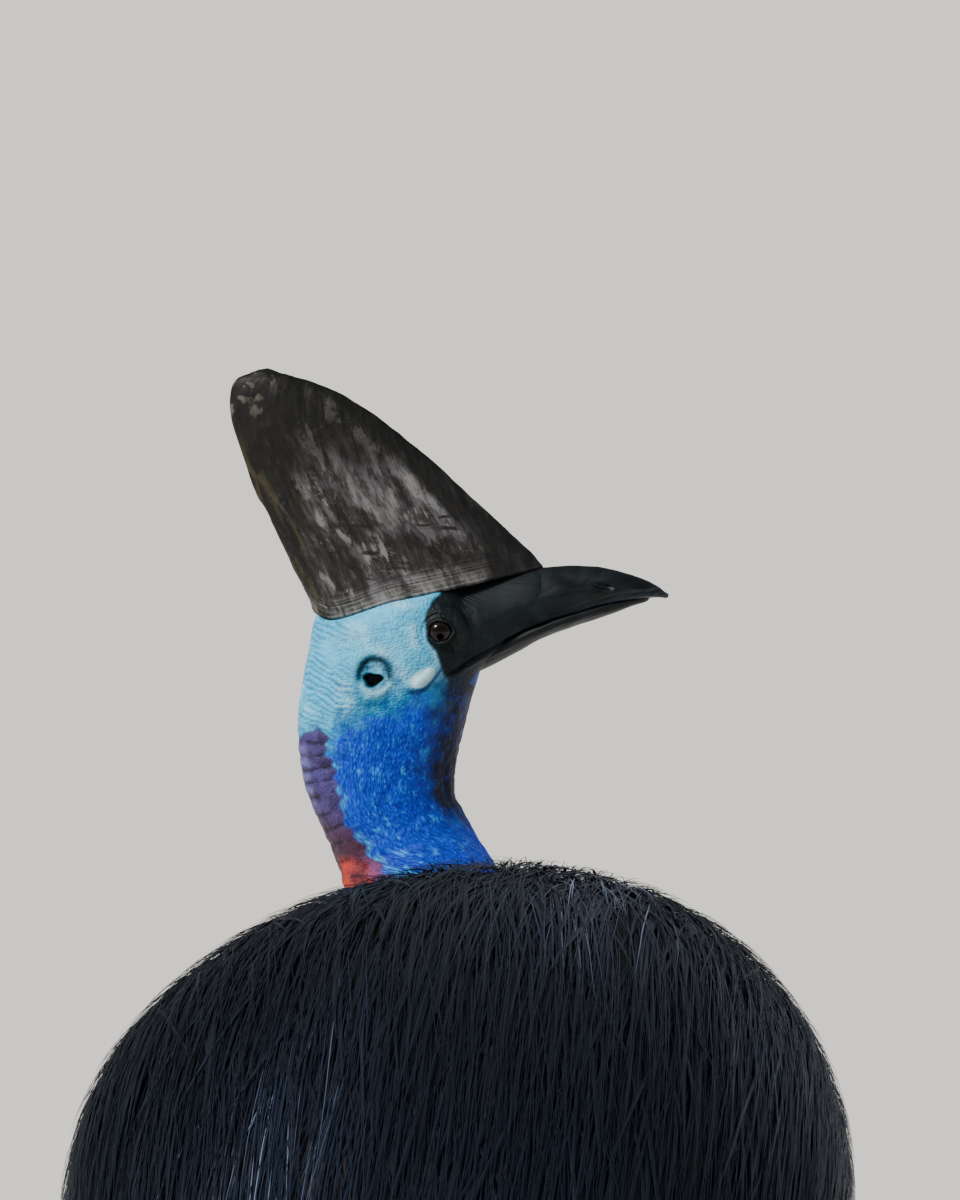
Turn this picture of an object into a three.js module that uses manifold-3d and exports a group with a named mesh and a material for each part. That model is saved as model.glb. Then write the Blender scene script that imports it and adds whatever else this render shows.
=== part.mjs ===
// A life-size southern cassowary, standing, with its neck drawn up and its head turned to its right.
// Millimetres, +Z up. The bird faces -Y and its left side is +X. The floor is Z = 0.
import * as THREE from "three";
import { mergeVertices } from "three/addons/utils/BufferGeometryUtils.js";
import Module from "manifold-3d";

const wasm = await Module();
wasm.setup();

const TURN = 2 * Math.PI;
const GAP = 0.3; // left between nodes that touch
const SIDES = [
  ["left", 1],
  ["right", -1],
];
const { lerp, smoothstep, clamp, degToRad, radToDeg } = THREE.MathUtils;

// The coat's outer shape, down to the tips of its locks
const TORSO = {
  middle: 45,
  halfLength: 450,
  halfWidth: 214,
  topRise: 174,
  bottomDrop: 300,
  axisHeight: 794,
  rumpDroop: 150,
  breastDroop: 42,
  breastNarrowing: 0.16,
  crestAside: -16, // the back's crest lies a little to the right
};
const TORSO_STEPS = 12;
const TORSO_SIDES = 18;
const COAT_DEPTH = 56; // from the skin to the tips
const CORE_DEPTH = COAT_DEPTH / 2; // the core fills the coat half way up
const BODY_LOCK = {
  rows: 7,
  firstRow: 0.56, // polar angles of the lie
  lastRow: 2.72,
  roundWidestRow: 11,
  shortest: 125,
  longest: 220,
  width: 158,
  breastWidth: 0.72, // share of the width that the locks of the breast have
  thickness: 7,
  rootSink: 9,
  tipDepth: 2,
};
const UNDERSIDE = { height: 575, middle: 40, reach: 190 }; // left without locks between the legs

// The middle of the head between its eyes, which every head size is measured from
const EYE_MIDDLE = new THREE.Vector3(48, -446, 1049);
const HEAD_TURN = degToRad(4); // short of a right angle to the body
const EYE_RADIUS = 9.5;
const EYE_OUT = 22.5; // from the head's middle plane to the eye's centre
const LID = { out: 28.7, length: 9.6, height: 8.6, thickness: 2.4 };
const EAR = { forward: -38.6, up: -27.5, length: 9.5, height: 11.5, rim: 2.3, depth: 6 };
const GAPE_LOBE = { forward: -10.5, out: 28, up: -28, sizes: [8.5, 5.5, 5.5] };
const NOSTRIL = { forward: 93, out: 8.6, up: 26, sizes: [7, 2.6, 1.9] };

// Neck and skull from the breast to the crown: centre behind, beside and above the eyes' middle, the way
// the nape faces, half depth and half width
const NECK_STATIONS = [
  { back: -40, aside: 165, up: -264, nape: [0, 0.46, 0.89], depth: 62, width: 54 },
  { back: -30, aside: 80, up: -223, nape: [0.35, 0.45, 0.82], depth: 55, width: 47 },
  { back: -7, aside: 26, up: -177, nape: [0.8, 0.35, 0.5], depth: 46, width: 40 },
  { back: 14, aside: 5, up: -139, nape: [0.97, 0.15, 0.2], depth: 42, width: 35.5 },
  { back: 23.5, aside: 1, up: -118, nape: [1, 0.05, 0.12], depth: 39.5, width: 33.5 },
  { back: 35, aside: 0, up: -91, nape: [1, 0, 0], depth: 43, width: 32 },
  { back: 34, aside: 0, up: -54, nape: [1, 0, 0], depth: 48, width: 32 },
  { back: 28.5, aside: 0, up: -28, nape: [1, 0, 0], depth: 50.5, width: 32.5 },
  { back: 24.5, aside: 0, up: -10, nape: [1, 0, 0], depth: 51, width: 32 },
  { back: 24, aside: 0, up: 8, nape: [1, 0, 0], depth: 47.5, width: 29.5 },
  { back: 21, aside: 0, up: 21, nape: [1, 0, 0], depth: 38, width: 24 },
  { back: 19, aside: 0, up: 31, nape: [1, 0, 0], depth: 24, width: 14 },
];
const NECK_SIDES = 16;
const PLUMAGE_LINE = 1.35; // station where bare skin starts
const NECK_CUT_HEIGHT = 943; // parts the lower neck from the upper
const HEAD_CUT_HEIGHT = 1003; // parts the upper neck from the head
const NAPE_FOLD = { low: 880, high: 1003, spacing: 8.8, height: 3.2 };
const COWL = { top: 11, foot: 42 }; // thickness of the coat round the foot of the neck
const COWL_LOCK = { rowStarts: [1.27, 0.98], round: 8, width: 58, thickness: 6 };

// Legs
const FOOT_OUT = 104; // from the middle plane to each foot
const FOOT_BACK = { left: 56, right: 106 }; // one foot stands a little ahead of the other
const HOCK_HEIGHT = 338;
const ANKLE_CUT_HEIGHT = 42; // parts the shank from the foot
const SHANK_TOP_HEIGHT = 410; // parts the feathered thigh from the bare shank
const THIGH = { halfWidths: [30, 70, 60, 43, 35], halfDepths: [40, 98, 78, 50, 40] };
const THIGH_LOCK = { rowStarts: [0.24, 0.4, 0.55], round: 6, reach: 0.26, thickness: 6 };
const SHANK = {
  halfWidths: [30, 28, 31, 22.5, 24, 22],
  halfDepths: [34, 31, 36, 24.5, 26, 23],
  plainRings: [0, 0.1, 0.2, 0.28, 0.35, 0.4, 0.45], // shares of the leg from its top, as all below
  scutesFrom: 0.47,
  scutesTo: 0.86,
  scuteStep: 0.043,
  scuteRise: 2.4,
};
const HEEL = { at: [0, 6, 17], sizes: [22, 26, 19] };
const TOE_SCUTE = { spacing: 17, rise: 1.6 };
const TOES = [
  { name: "inner", turn: -27, length: 74, radius: 15.5, claw: 104, clawRadius: 9.5, pads: 2 },
  { name: "middle", turn: 1, length: 138, radius: 17, claw: 48, clawRadius: 9, pads: 4 },
  { name: "outer", turn: 31, length: 98, radius: 14.5, claw: 34, clawRadius: 7.5, pads: 3 },
];

const CLAW_TIP_HEIGHT = 3.2; // the claws end a little above the floor

// Wings and wattles
const WING_STUB = { halfWidth: 15, halfHeight: 24 };
const QUILL = { count: 5, radius: 2.9, longest: 320, shortest: 200, offCoat: 11 };
const WATTLE = { station: 1.9, length: 118, radius: 11, apart: 13.5, bulbs: 6 };

let seed = 7;
function random() {
  seed = (seed * 16807) % 2147483647;
  return seed / 2147483647;
}
const vary = (amount) => (random() * 2 - 1) * amount;

// A closed geometry as a solid, with its faces turned out.
function solidOf(geometry) {
  const bare = new THREE.BufferGeometry();
  bare.setAttribute("position", geometry.getAttribute("position"));
  bare.setIndex(geometry.getIndex());
  const merged = mergeVertices(bare, 1e-3);
  const vertProperties = merged.getAttribute("position").array;
  const triVerts = new Uint32Array(merged.getIndex().array);
  const make = () => new wasm.Manifold(new wasm.Mesh({ numProp: 3, vertProperties, triVerts }));
  const solid = make();
  if (solid.volume() > 0) return solid;
  for (let i = 0; i < triVerts.length; i += 3) {
    [triVerts[i + 1], triVerts[i + 2]] = [triVerts[i + 2], triVerts[i + 1]];
  }
  return make();
}

// A solid as a geometry with flat shading.
function geometryOf(solid) {
  const { vertProperties, triVerts, numProp } = solid.getMesh();
  const positions = new Float32Array((vertProperties.length / numProp) * 3);
  for (let i = 0; i < positions.length / 3; i++) {
    positions.set(vertProperties.subarray(i * numProp, i * numProp + 3), i * 3);
  }
  const geometry = new THREE.BufferGeometry();
  geometry.setAttribute("position", new THREE.BufferAttribute(positions, 3));
  geometry.setIndex(new THREE.BufferAttribute(new Uint32Array(triVerts), 1));
  const flat = geometry.toNonIndexed();
  flat.computeVertexNormals();
  return flat;
}

const join = (solids) => wasm.Manifold.union(solids);

// The largest closed body of a solid, without loose scraps.
function largest(solid) {
  return solid.decompose().reduce((best, body) => (body.volume() > best.volume() ? body : best));
}

// The part of a solid on the side of a plane that its normal points to.
function keepBeyond(solid, normal, point) {
  const n = normal.clone().normalize();
  return solid.trimByPlane([n.x, n.y, n.z], n.dot(point));
}

const UP = new THREE.Vector3(0, 0, 1);
const DOWN = new THREE.Vector3(0, 0, -1);
const above = (solid, z) => keepBeyond(solid, UP, new THREE.Vector3(0, 0, z));
const below = (solid, z) => keepBeyond(solid, DOWN, new THREE.Vector3(0, 0, z));

// A closed surface with a pole at t = 0 and at t = 1. point(t, angle) places it.
function shell(point, steps, sides) {
  const geometry = new THREE.SphereGeometry(1, sides, steps);
  const position = geometry.getAttribute("position");
  const uv = geometry.getAttribute("uv");
  for (let i = 0; i < position.count; i++) {
    const p = point(1 - uv.getY(i), uv.getX(i) * TURN);
    position.setXYZ(i, p.x, p.y, p.z);
  }
  return solidOf(geometry);
}

// A shell whose end rings are flat caps. ring(t) gives centre, across, upward and the half sizes.
function loft(ring, steps, sides, shape = (angle, r) => r) {
  return shell(
    (t, angle) => {
      const step = Math.round(t * steps);
      const isPole = step === 0 || step === steps;
      const along = clamp((step - 1) / (steps - 2), 0, 1);
      const r = ring(along);
      if (isPole) return r.centre.clone();
      const [s, c] = shape(angle, [Math.sin(angle), Math.cos(angle)], r, along);
      return r.centre
        .clone()
        .addScaledVector(r.across, s * r.width)
        .addScaledVector(r.upward, c * r.height);
    },
    steps,
    sides,
  );
}

// A smooth value through stations at whole numbers, at the place u.
function through(values, u) {
  const i = clamp(Math.floor(u), 0, values.length - 2);
  const at = (k) => values[clamp(k, 0, values.length - 1)];
  const f = u - i;
  const [a, b, c, d] = [at(i - 1), at(i), at(i + 1), at(i + 2)];
  const slopeB = (c - a) / 2;
  const slopeC = (d - b) / 2;
  const f2 = f * f;
  const f3 = f2 * f;
  return (2 * f3 - 3 * f2 + 1) * b + (f3 - 2 * f2 + f) * slopeB + (3 * f2 - 2 * f3) * c + (f3 - f2) * slopeC;
}

// Places on a loft that are given as rows of [place, low, high, half width], smoothly joined.
function profileAt(rows, t) {
  const u = t * (rows.length - 1);
  return rows[0].map((_, column) => through(rows.map((row) => row[column]), u));
}

// A tube along a curve, with a section of its own at each place.
function tube(curve, section, steps, sides, reference = new THREE.Vector3(1, 0, 0)) {
  return loft(
    (t) => {
      const tangent = curve.getTangent(t);
      const upward = new THREE.Vector3().crossVectors(tangent, reference).normalize();
      const across = new THREE.Vector3().crossVectors(upward, tangent).normalize();
      const [width, height] = section(t);
      return { centre: curve.getPoint(t), across, upward, width, height };
    },
    steps,
    sides,
    section.shape,
  );
}

const curveThrough = (points) => new THREE.CatmullRomCurve3(points.map((p) => new THREE.Vector3(...p)));

// Torso

function axisHeight(y) {
  const rump = TORSO.rumpDroop * smoothstep(y, 90, 560);
  const breast = TORSO.breastDroop * smoothstep(-y, 50, 420);
  return TORSO.axisHeight - rump - breast;
}

// The point of the torso in the direction q of a unit sphere, at a depth below the coat's outer shape.
function torsoPoint(q, depth) {
  const y = TORSO.middle + (TORSO.halfLength - depth) * q.y;
  const narrowing = 1 - TORSO.breastNarrowing * smoothstep(-y, -50, 350);
  const rise = q.z > 0 ? TORSO.topRise : TORSO.bottomDrop;
  return new THREE.Vector3(
    (TORSO.halfWidth * narrowing - depth) * q.x + TORSO.crestAside * Math.max(q.z, 0) ** 2,
    y,
    axisHeight(y) + (rise - depth) * q.z,
  );
}

function torsoCore(depth) {
  return shell(
    (t, angle) => {
      const polar = Math.PI * t;
      const ringSize = Math.sin(polar);
      return torsoPoint(
        new THREE.Vector3(ringSize * Math.sin(angle), -Math.cos(polar), ringSize * Math.cos(angle)),
        depth,
      );
    },
    TORSO_STEPS,
    TORSO_SIDES,
  );
}

// The coat parts at the foot of the neck and runs together under the rump: the two poles of its lie.
const LIE_POLE = new THREE.Vector3(0, 0.8, -0.6).normalize();
const LIE_ACROSS = new THREE.Vector3(1, 0, 0);
const LIE_UPWARD = new THREE.Vector3().crossVectors(LIE_POLE, LIE_ACROSS).normalize();

function lieDirection(polar, round) {
  return LIE_POLE.clone()
    .multiplyScalar(-Math.cos(polar))
    .addScaledVector(LIE_ACROSS, Math.sin(polar) * Math.sin(round))
    .addScaledVector(LIE_UPWARD, Math.sin(polar) * Math.cos(round));
}

const LOCK_POINTS = 5;

// The points that a lock follows from its root, lying on the coat and hanging free below the flanks.
function lockPath(polar, round, length, drift) {
  const step = length / (LOCK_POINTS - 1);
  const points = [];
  let angle = polar;
  let heading = round;
  let hanging = false;
  for (let k = 0; k < LOCK_POINTS; k++) {
    const share = k / (LOCK_POINTS - 1);
    const depth = lerp(CORE_DEPTH + BODY_LOCK.rootSink, BODY_LOCK.tipDepth, share ** 0.75);
    const q = lieDirection(angle, heading);
    const onCoat = torsoPoint(q, depth);
    hanging ||= k > 1 && q.z < -0.3;
    if (hanging) {
      const last = points[k - 1];
      const course = last.clone().sub(points[k - 2]).normalize();
      points.push(last.clone().addScaledVector(course.lerp(DOWN, 0.55).normalize(), step));
    } else {
      points.push(onCoat);
    }
    const ahead = torsoPoint(lieDirection(angle + 0.02, heading), depth);
    angle = Math.min(angle + (0.02 * step) / ahead.distanceTo(onCoat), Math.PI - 0.06);
    heading += drift / Math.max(Math.sin(angle), 0.3);
  }
  return points;
}

// How much wider and thicker a lock gets for each millimetre that it grows all round.
const LOCK_GROWTH = { width: 12, height: 3 };

// A flat tapered lock with a ridge along its back. outward(point) is the way off the coat.
function lock({ points, width, thickness, outward }, grow = 0) {
  const curve = new THREE.CatmullRomCurve3(points);
  const taper = (t) => Math.max(0.72 + 0.42 * t - 1.06 * t ** 2.4, 0.03);
  const rings = [0, 1, 2, 3].map((k) => {
    const t = k / 3;
    const tangent = curve.getTangent(t);
    const centre = curve.getPoint(t);
    const across = new THREE.Vector3().crossVectors(tangent, outward(centre)).normalize();
    return {
      centre,
      across,
      upward: new THREE.Vector3().crossVectors(across, tangent).normalize(),
      width: (width / 2) * taper(t) + LOCK_GROWTH.width * grow,
      height: thickness * lerp(0.62, 0.22, t) + LOCK_GROWTH.height * grow,
    };
  });
  return loft((t) => rings[Math.round(t * 3)], 5, 3);
}

// The way off the body's coat at a point, nearly level where the coat hangs below its widest line.
function torsoOutward(p) {
  const up = p.z - axisHeight(p.y);
  return new THREE.Vector3(p.x, (p.y - TORSO.middle) * 0.35, up > 0 ? up : up * 0.3).normalize();
}

// Longer locks towards the rump, as [length, width] at a polar angle of the lie.
function lockSize(polar) {
  const share = clamp((polar - 0.5) / 1.6, 0, 1);
  return [
    lerp(BODY_LOCK.shortest, BODY_LOCK.longest, share),
    BODY_LOCK.width * lerp(BODY_LOCK.breastWidth, 1, share),
  ];
}

// Every lock of the body.
function bodyLocks() {
  const made = [];
  for (let row = 0; row < BODY_LOCK.rows; row++) {
    const polar = lerp(BODY_LOCK.firstRow, BODY_LOCK.lastRow, row / (BODY_LOCK.rows - 1));
    const count = Math.round(BODY_LOCK.roundWidestRow * Math.sin(polar) ** 0.8);
    for (let i = 0; i < count; i++) {
      const round = ((i + (row % 2) / 2) / count) * TURN + vary(0.02);
      const root = torsoPoint(lieDirection(polar, round), CORE_DEPTH);
      const underside = root.z < UNDERSIDE.height && Math.abs(root.y - UNDERSIDE.middle) < UNDERSIDE.reach;
      if (underside) continue;
      const [length, width] = lockSize(polar);
      made.push({
        points: lockPath(polar + vary(0.03), round, length * (1 + vary(0.08)), vary(0.035)),
        width: width * (1 + vary(0.08)),
        thickness: BODY_LOCK.thickness,
        outward: torsoOutward,
      });
    }
  }
  return made;
}

// Neck and skull

// The section of the neck at station u: its centre and axes, with half sizes grown by an amount.
function neckRing(u, grow = 0) {
  const read = (name, place = u) => through(NECK_STATIONS.map((s) => s[name]), place);
  const centreAt = (place) => new THREE.Vector3(read("back", place), read("aside", place), read("up", place));
  const centre = centreAt(u);
  const tangent = centreAt(u + 0.05).sub(centre).normalize();
  const level = 1 - smoothstep(5 - u, 0, 1.5); // the skull's sections stay level
  tangent.lerp(UP, level).normalize();
  const napeAt = (k) => through(NECK_STATIONS.map((s) => s.nape[k]), u);
  const nape = new THREE.Vector3(napeAt(0), napeAt(1), napeAt(2));
  nape.addScaledVector(tangent, -nape.dot(tangent)).normalize();
  for (const vector of [centre, tangent, nape]) vector.applyAxisAngle(UP, HEAD_TURN);
  return {
    centre: centre.add(EYE_MIDDLE),
    tangent,
    across: new THREE.Vector3().crossVectors(tangent, nape).normalize(),
    upward: nape,
    width: read("width") + grow,
    height: read("depth") + grow,
  };
}

// How far the folds of the nape stand out at a height and an angle round the neck.
function napeFold(z, angle) {
  const { low, high } = NAPE_FOLD;
  const within = smoothstep(z, low, low + 12) * smoothstep(-z, -high, 4 - high);
  const wave = Math.abs(Math.sin((Math.PI * (z - NAPE_FOLD.low)) / NAPE_FOLD.spacing));
  return NAPE_FOLD.height * within * wave * Math.max(Math.cos(angle), 0) ** 3;
}

function neckPoint(u, angle, grow) {
  const r = neckRing(u, grow);
  const p = r.centre.clone().addScaledVector(r.across, Math.sin(angle) * r.width);
  p.addScaledVector(r.upward, Math.cos(angle) * r.height);
  return p;
}

// The station of the neck at a height, above the place where the nape turns sideways.
function stationAtHeight(z) {
  let [low, high] = [1, NECK_STATIONS.length - 1];
  for (let k = 0; k < 20; k++) {
    const middle = (low + high) / 2;
    if (neckRing(middle).centre.z < z) low = middle;
    else high = middle;
  }
  return (low + high) / 2;
}

// The neck through a list of stations, grown all round by an amount that may differ along it.
function neckSweep(stations, sides, grow = 0, folded = true) {
  const growAt = typeof grow === "function" ? grow : () => grow;
  const rings = stations.map((u) => neckRing(u, growAt(u)));
  return loft(
    (t) => rings[Math.round(t * (stations.length - 1))],
    stations.length + 1,
    sides,
    (angle, [s, c], r) => {
      const fold = folded ? napeFold(r.centre.z, angle) / r.height : 0;
      return [s, c * (1 + fold)];
    },
  );
}

// Rings at the top and at the bottom of each fold of the nape between two heights.
function foldStations(low, high) {
  const stations = [];
  for (let z = NAPE_FOLD.low; z < NAPE_FOLD.high; z += NAPE_FOLD.spacing / 2) {
    if (z > low && z < high) stations.push(stationAtHeight(z));
  }
  return stations;
}

// The snout between the eyes and the bill: [forward, bottom, top, half width], in the head's frame.
const SNOUT_ROWS = [
  [-16, -36, 26, 26],
  [2, -34, 27, 26.5],
  [20, -27, 28, 22.5],
  [36, -17, 31, 18.5],
  [47, -6, 33, 15],
];

// The head's frame has X forward, Y to its left and Z up, from the middle between the eyes.
function alongHead(rows, steps, sides, grow = 0, shape) {
  return loft(
    (t) => {
      const [forward, low, high, half] = profileAt(rows, t);
      return {
        centre: new THREE.Vector3(forward, 0, (low + high) / 2),
        across: new THREE.Vector3(0, 1, 0),
        upward: UP,
        width: half + grow,
        height: (high - low) / 2 + grow,
      };
    },
    steps,
    sides,
    shape,
  );
}

const toHeadFrame = (solid) =>
  solid.translate(EYE_MIDDLE.clone().negate().toArray()).rotate([0, 0, 180 - radToDeg(HEAD_TURN)]);

// A ball stretched to three half sizes, at a point.
function ball(point, sizes, across = 12, around = 8) {
  const geometry = new THREE.SphereGeometry(1, across, around);
  geometry.scale(...sizes);
  geometry.translate(...point);
  return solidOf(geometry);
}

// A ring lying on a side of the head, round a point, stretched to two radii.
function sideRing(point, radii, thickness, side) {
  const geometry = new THREE.TorusGeometry(2, 1, 4, 11);
  const position = geometry.getAttribute("position");
  for (let i = 0; i < position.count; i++) {
    const [x, y, z] = [position.getX(i), position.getY(i), position.getZ(i)];
    const angle = Math.atan2(y, x);
    const out = Math.hypot(x, y) - 2;
    const reach = [radii[0] + out * thickness, radii[1] + out * thickness];
    position.setXYZ(
      i,
      point[0] + reach[0] * Math.cos(angle),
      point[1] + z * thickness * side,
      point[2] + reach[1] * Math.sin(angle),
    );
  }
  return solidOf(geometry);
}

// Half the head's width at a place beside the skull, in the head's frame.
function skullHalfWidth(forward, up) {
  const heights = NECK_STATIONS.map((s) => s.up);
  const i = clamp(heights.findIndex((h) => h > up), 1, heights.length - 1);
  const share = (up - heights[i - 1]) / (heights[i] - heights[i - 1]);
  const blend = (name) => lerp(NECK_STATIONS[i - 1][name], NECK_STATIONS[i][name], share);
  const fromMiddle = forward + blend("back");
  return blend("width") * Math.sqrt(Math.max(1 - (fromMiddle / blend("depth")) ** 2, 0));
}

// The line of the mouth behind the bill, as a thin wedge that passes through both cheeks.
const MOUTH_LINE_ROWS = [
  [7, -23.2, -21.6, 40],
  [20, -15.2, -13.4, 40],
  [34, -8.2, -6.2, 40],
  [60, 3.4, 5.6, 40],
];
const MOUTH_LINE_DEPTH = 3.2;

const SKULL_STATIONS = [5.6, 6, 6.5, 7, 7.5, 8, 8.5, 9, 9.5, 10, 10.5, 11];

const skull = (grow, folded) => toHeadFrame(neckSweep(SKULL_STATIONS, NECK_SIDES, grow, folded));
const snout = (grow) => alongHead(SNOUT_ROWS, 8, 14, grow);

function headSkin() {
  const mouthLine = alongHead(MOUTH_LINE_ROWS, 8, 4).subtract(snout(-MOUTH_LINE_DEPTH));
  let skin = join([skull(0, true), snout(0)]).subtract(mouthLine);
  for (const side of [1, -1]) {
    const earPoint = [EAR.forward, side * skullHalfWidth(EAR.forward, EAR.up), EAR.up];
    const lobePoint = [GAPE_LOBE.forward, side * GAPE_LOBE.out, GAPE_LOBE.up];
    const socket = EYE_RADIUS + GAP;
    skin = join([
      skin,
      sideRing(earPoint, [EAR.length, EAR.height], EAR.rim, side),
      sideRing([0, side * LID.out, 0], [LID.length, LID.height], LID.thickness, side),
      ball(lobePoint, GAPE_LOBE.sizes, 8, 6),
    ]);
    skin = skin.subtract(ball(earPoint, [EAR.length * 0.62, EAR.depth, EAR.height * 0.55], 8, 6));
    skin = skin.subtract(ball([0, side * EYE_OUT, 0], [socket, socket, socket], 12, 8));
  }
  return largest(skin);
}

// Casque: level sections as [height, rear, front, half thickness].
const CASQUE_ROWS = [
  [-2, -69, 66, 22],
  [18, -77, 64, 20.5],
  [37, -85, 59, 17],
  [57, -94, 40, 14],
  [78, -105, 18, 11.8],
  [100, -114, -7, 10],
  [120, -120, -32, 8.5],
  [136, -121, -56, 7.4],
  [146, -117, -80, 5.6],
  [150.5, -107, -95, 3],
];
const CASQUE_RIM = { rise: 22, slope: 0.209, billGap: 2.4 }; // the straight rim where horn meets skin
const CASQUE_RIM_NORMAL = new THREE.Vector3(-CASQUE_RIM.slope, 0, 1).normalize();

// The casque as a blade, thick behind and keeled in front.
function casqueBlade(grow) {
  return loft(
    (t) => {
      const [height, rear, front, half] = profileAt(CASQUE_ROWS, t);
      return {
        centre: new THREE.Vector3((rear + front) / 2, 0, height),
        across: new THREE.Vector3(0, 1, 0),
        upward: new THREE.Vector3(1, 0, 0),
        width: half + grow,
        height: (front - rear) / 2 + grow,
      };
    },
    15,
    16,
    (angle, [s, c]) => [s * (1 - 0.42 * Math.max(c, 0)) * Math.abs(s) ** 0.15, c],
  );
}

// The casque above its rim, grown all round by an amount.
function casque(grow = 0) {
  const rim = new THREE.Vector3(0, 0, CASQUE_RIM.rise - grow);
  return keepBeyond(casqueBlade(grow), CASQUE_RIM_NORMAL, rim);
}

// Upper and lower bill: [forward, bottom, top, half width].
const UPPER_BILL_ROWS = [
  [30, -8, 31, 18],
  [46, -1, 34.5, 15.6],
  [62, 6.6, 36.4, 13.6],
  [77, 11.2, 37.4, 12],
  [91, 15, 36.8, 10.4],
  [103, 17.6, 34.2, 8.8],
  [115, 18.9, 30.6, 6.9],
  [125, 19.4, 26, 4.4],
  [132, 18.4, 21.6, 1.6],
];
const LOWER_BILL_ROWS = [
  [16, -27, -16.6, 15],
  [30, -20.5, -9.4, 14.6],
  [44, -13, -2.8, 13.6],
  [58, -5.4, 3.6, 12.2],
  [73, 0.6, 9, 10.8],
  [88, 5.4, 13.2, 9.2],
  [101, 9.8, 16.2, 7.6],
  [112, 14, 17.9, 5.4],
  [121, 17, 18.7, 2.4],
];

// The upper bill is narrow above and square below, and the lower bill the other way round.
const narrowTop = (angle, [s, c]) => [s * (c > 0 ? 1 - 0.45 * c : 1), c > 0 ? c : -(Math.abs(c) ** 0.55)];
const narrowBottom = (angle, [s, c]) => [s * (c < 0 ? 1 + 0.35 * c : 1), c < 0 ? c : Math.abs(c) ** 0.6];

const upperBillShape = (grow) => alongHead(UPPER_BILL_ROWS, 14, 12, grow, narrowTop);

function upperBill(headCut, casqueCut) {
  const top = new THREE.Vector3(0, 0, CASQUE_RIM.rise + CASQUE_RIM.billGap);
  let bill = upperBillShape(0);
  bill = keepBeyond(bill, CASQUE_RIM_NORMAL.clone().negate(), top);
  bill = bill.subtract(headCut).subtract(casqueCut);
  for (const side of [1, -1]) {
    bill = bill.subtract(ball([NOSTRIL.forward, side * NOSTRIL.out, NOSTRIL.up], NOSTRIL.sizes, 10, 6));
  }
  return largest(bill);
}

function lowerBill(headCut) {
  const bill = alongHead(LOWER_BILL_ROWS, 13, 10, 0, narrowBottom);
  return largest(bill.subtract(headCut).subtract(upperBillShape(GAP)));
}

// Wattles hang side by side from the throat, where the neck leaves the coat.
function wattle(side, neckCut) {
  const r = neckRing(WATTLE.station);
  const throat = r.upward.clone().negate();
  const beside = new THREE.Vector3().crossVectors(UP, throat).normalize();
  const root = r.centre.clone().addScaledVector(throat, r.height - 9);
  root.addScaledVector(beside, side * WATTLE.apart);
  const out = root.clone().addScaledVector(throat, 20);
  const hang = (drop, away) =>
    out
      .clone()
      .addScaledVector(beside, side * away)
      .addScaledVector(throat.clone().setZ(0).normalize(), 9)
      .add(new THREE.Vector3(0, 0, -drop));
  const curve = new THREE.CatmullRomCurve3([root, out, hang(26, 1), hang(68, 2.5), hang(WATTLE.length, 4)]);
  const section = (t) => {
    const bulge = 1 + 0.13 * Math.cos(WATTLE.bulbs * TURN * t);
    const ending = 1 - 0.75 * smoothstep(t, 0.82, 1);
    const radius = WATTLE.radius * lerp(0.82, 1, smoothstep(t, 0, 0.7)) * ending * bulge;
    return [radius * 1.06, radius * 0.86];
  };
  return largest(tube(curve, section, 15, 6, beside).subtract(neckCut));
}

// Wings: a stub at the shoulder with bare quills that sweep back and down, clear of the flank.
function onFlank(side, y, z, depth) {
  const qy = (y - TORSO.middle) / (TORSO.halfLength - depth);
  const qz = Math.max(z - axisHeight(y), 0) / (TORSO.topRise - depth);
  const qx = Math.sqrt(Math.max(1 - qy * qy - qz * qz, 0.01));
  return torsoPoint(new THREE.Vector3(side * qx, qy, qz), depth).setZ(z);
}

function wingStub(side, grow = 0) {
  const curve = new THREE.CatmullRomCurve3([
    onFlank(side, -215, 800, CORE_DEPTH + 6),
    onFlank(side, -165, 792, 6),
    onFlank(side, -105, 772, -6),
    onFlank(side, -70, 756, -9),
  ]);
  const section = (t) => [
    WING_STUB.halfWidth * (1 - 0.45 * t) + grow,
    WING_STUB.halfHeight * (1 - 0.5 * t) + grow,
  ];
  return tube(curve, section, 8, 8, UP);
}

function wing(side, coreCut) {
  const quills = [];
  for (let i = 0; i < QUILL.count; i++) {
    const share = i / (QUILL.count - 1);
    const fall = degToRad(lerp(8, 52, share));
    const length = lerp(QUILL.longest, QUILL.shortest, share);
    const root = { y: lerp(-98, -125, share), z: lerp(775, 757, share) };
    const at = (s) => {
      const y = root.y + s * length * Math.cos(fall);
      return onFlank(side, y, root.z - s * length * Math.sin(fall + 0.35 * s), -QUILL.offCoat);
    };
    const curve = new THREE.CatmullRomCurve3([0, 0.2, 0.4, 0.6, 0.8, 1].map(at));
    const radius = (t) => QUILL.radius * (1 - 0.72 * t);
    quills.push(tube(curve, (t) => [radius(t), radius(t)], 8, 4, UP));
  }
  return largest(join([wingStub(side), ...quills]).subtract(coreCut));
}

// Legs

function legStations(side) {
  const x = side * FOOT_OUT;
  const back = side > 0 ? FOOT_BACK.left : FOOT_BACK.right;
  return {
    flank: [side * 92, -40, 735],
    knee: [side * 106, -38, 630],
    midTibia: [side * 110, lerp(-70, back + 70, 0.55), lerp(610, HOCK_HEIGHT, 0.55)],
    shankTop: [side * 107, lerp(-70, back + 70, 0.82), lerp(610, HOCK_HEIGHT, 0.82)],
    hock: [x, back + 72, HOCK_HEIGHT],
    midTarsus: [x, back + 40, 190],
    ankle: [x, back + 4, 46],
    sole: [x, back - 4, 12],
  };
}

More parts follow.
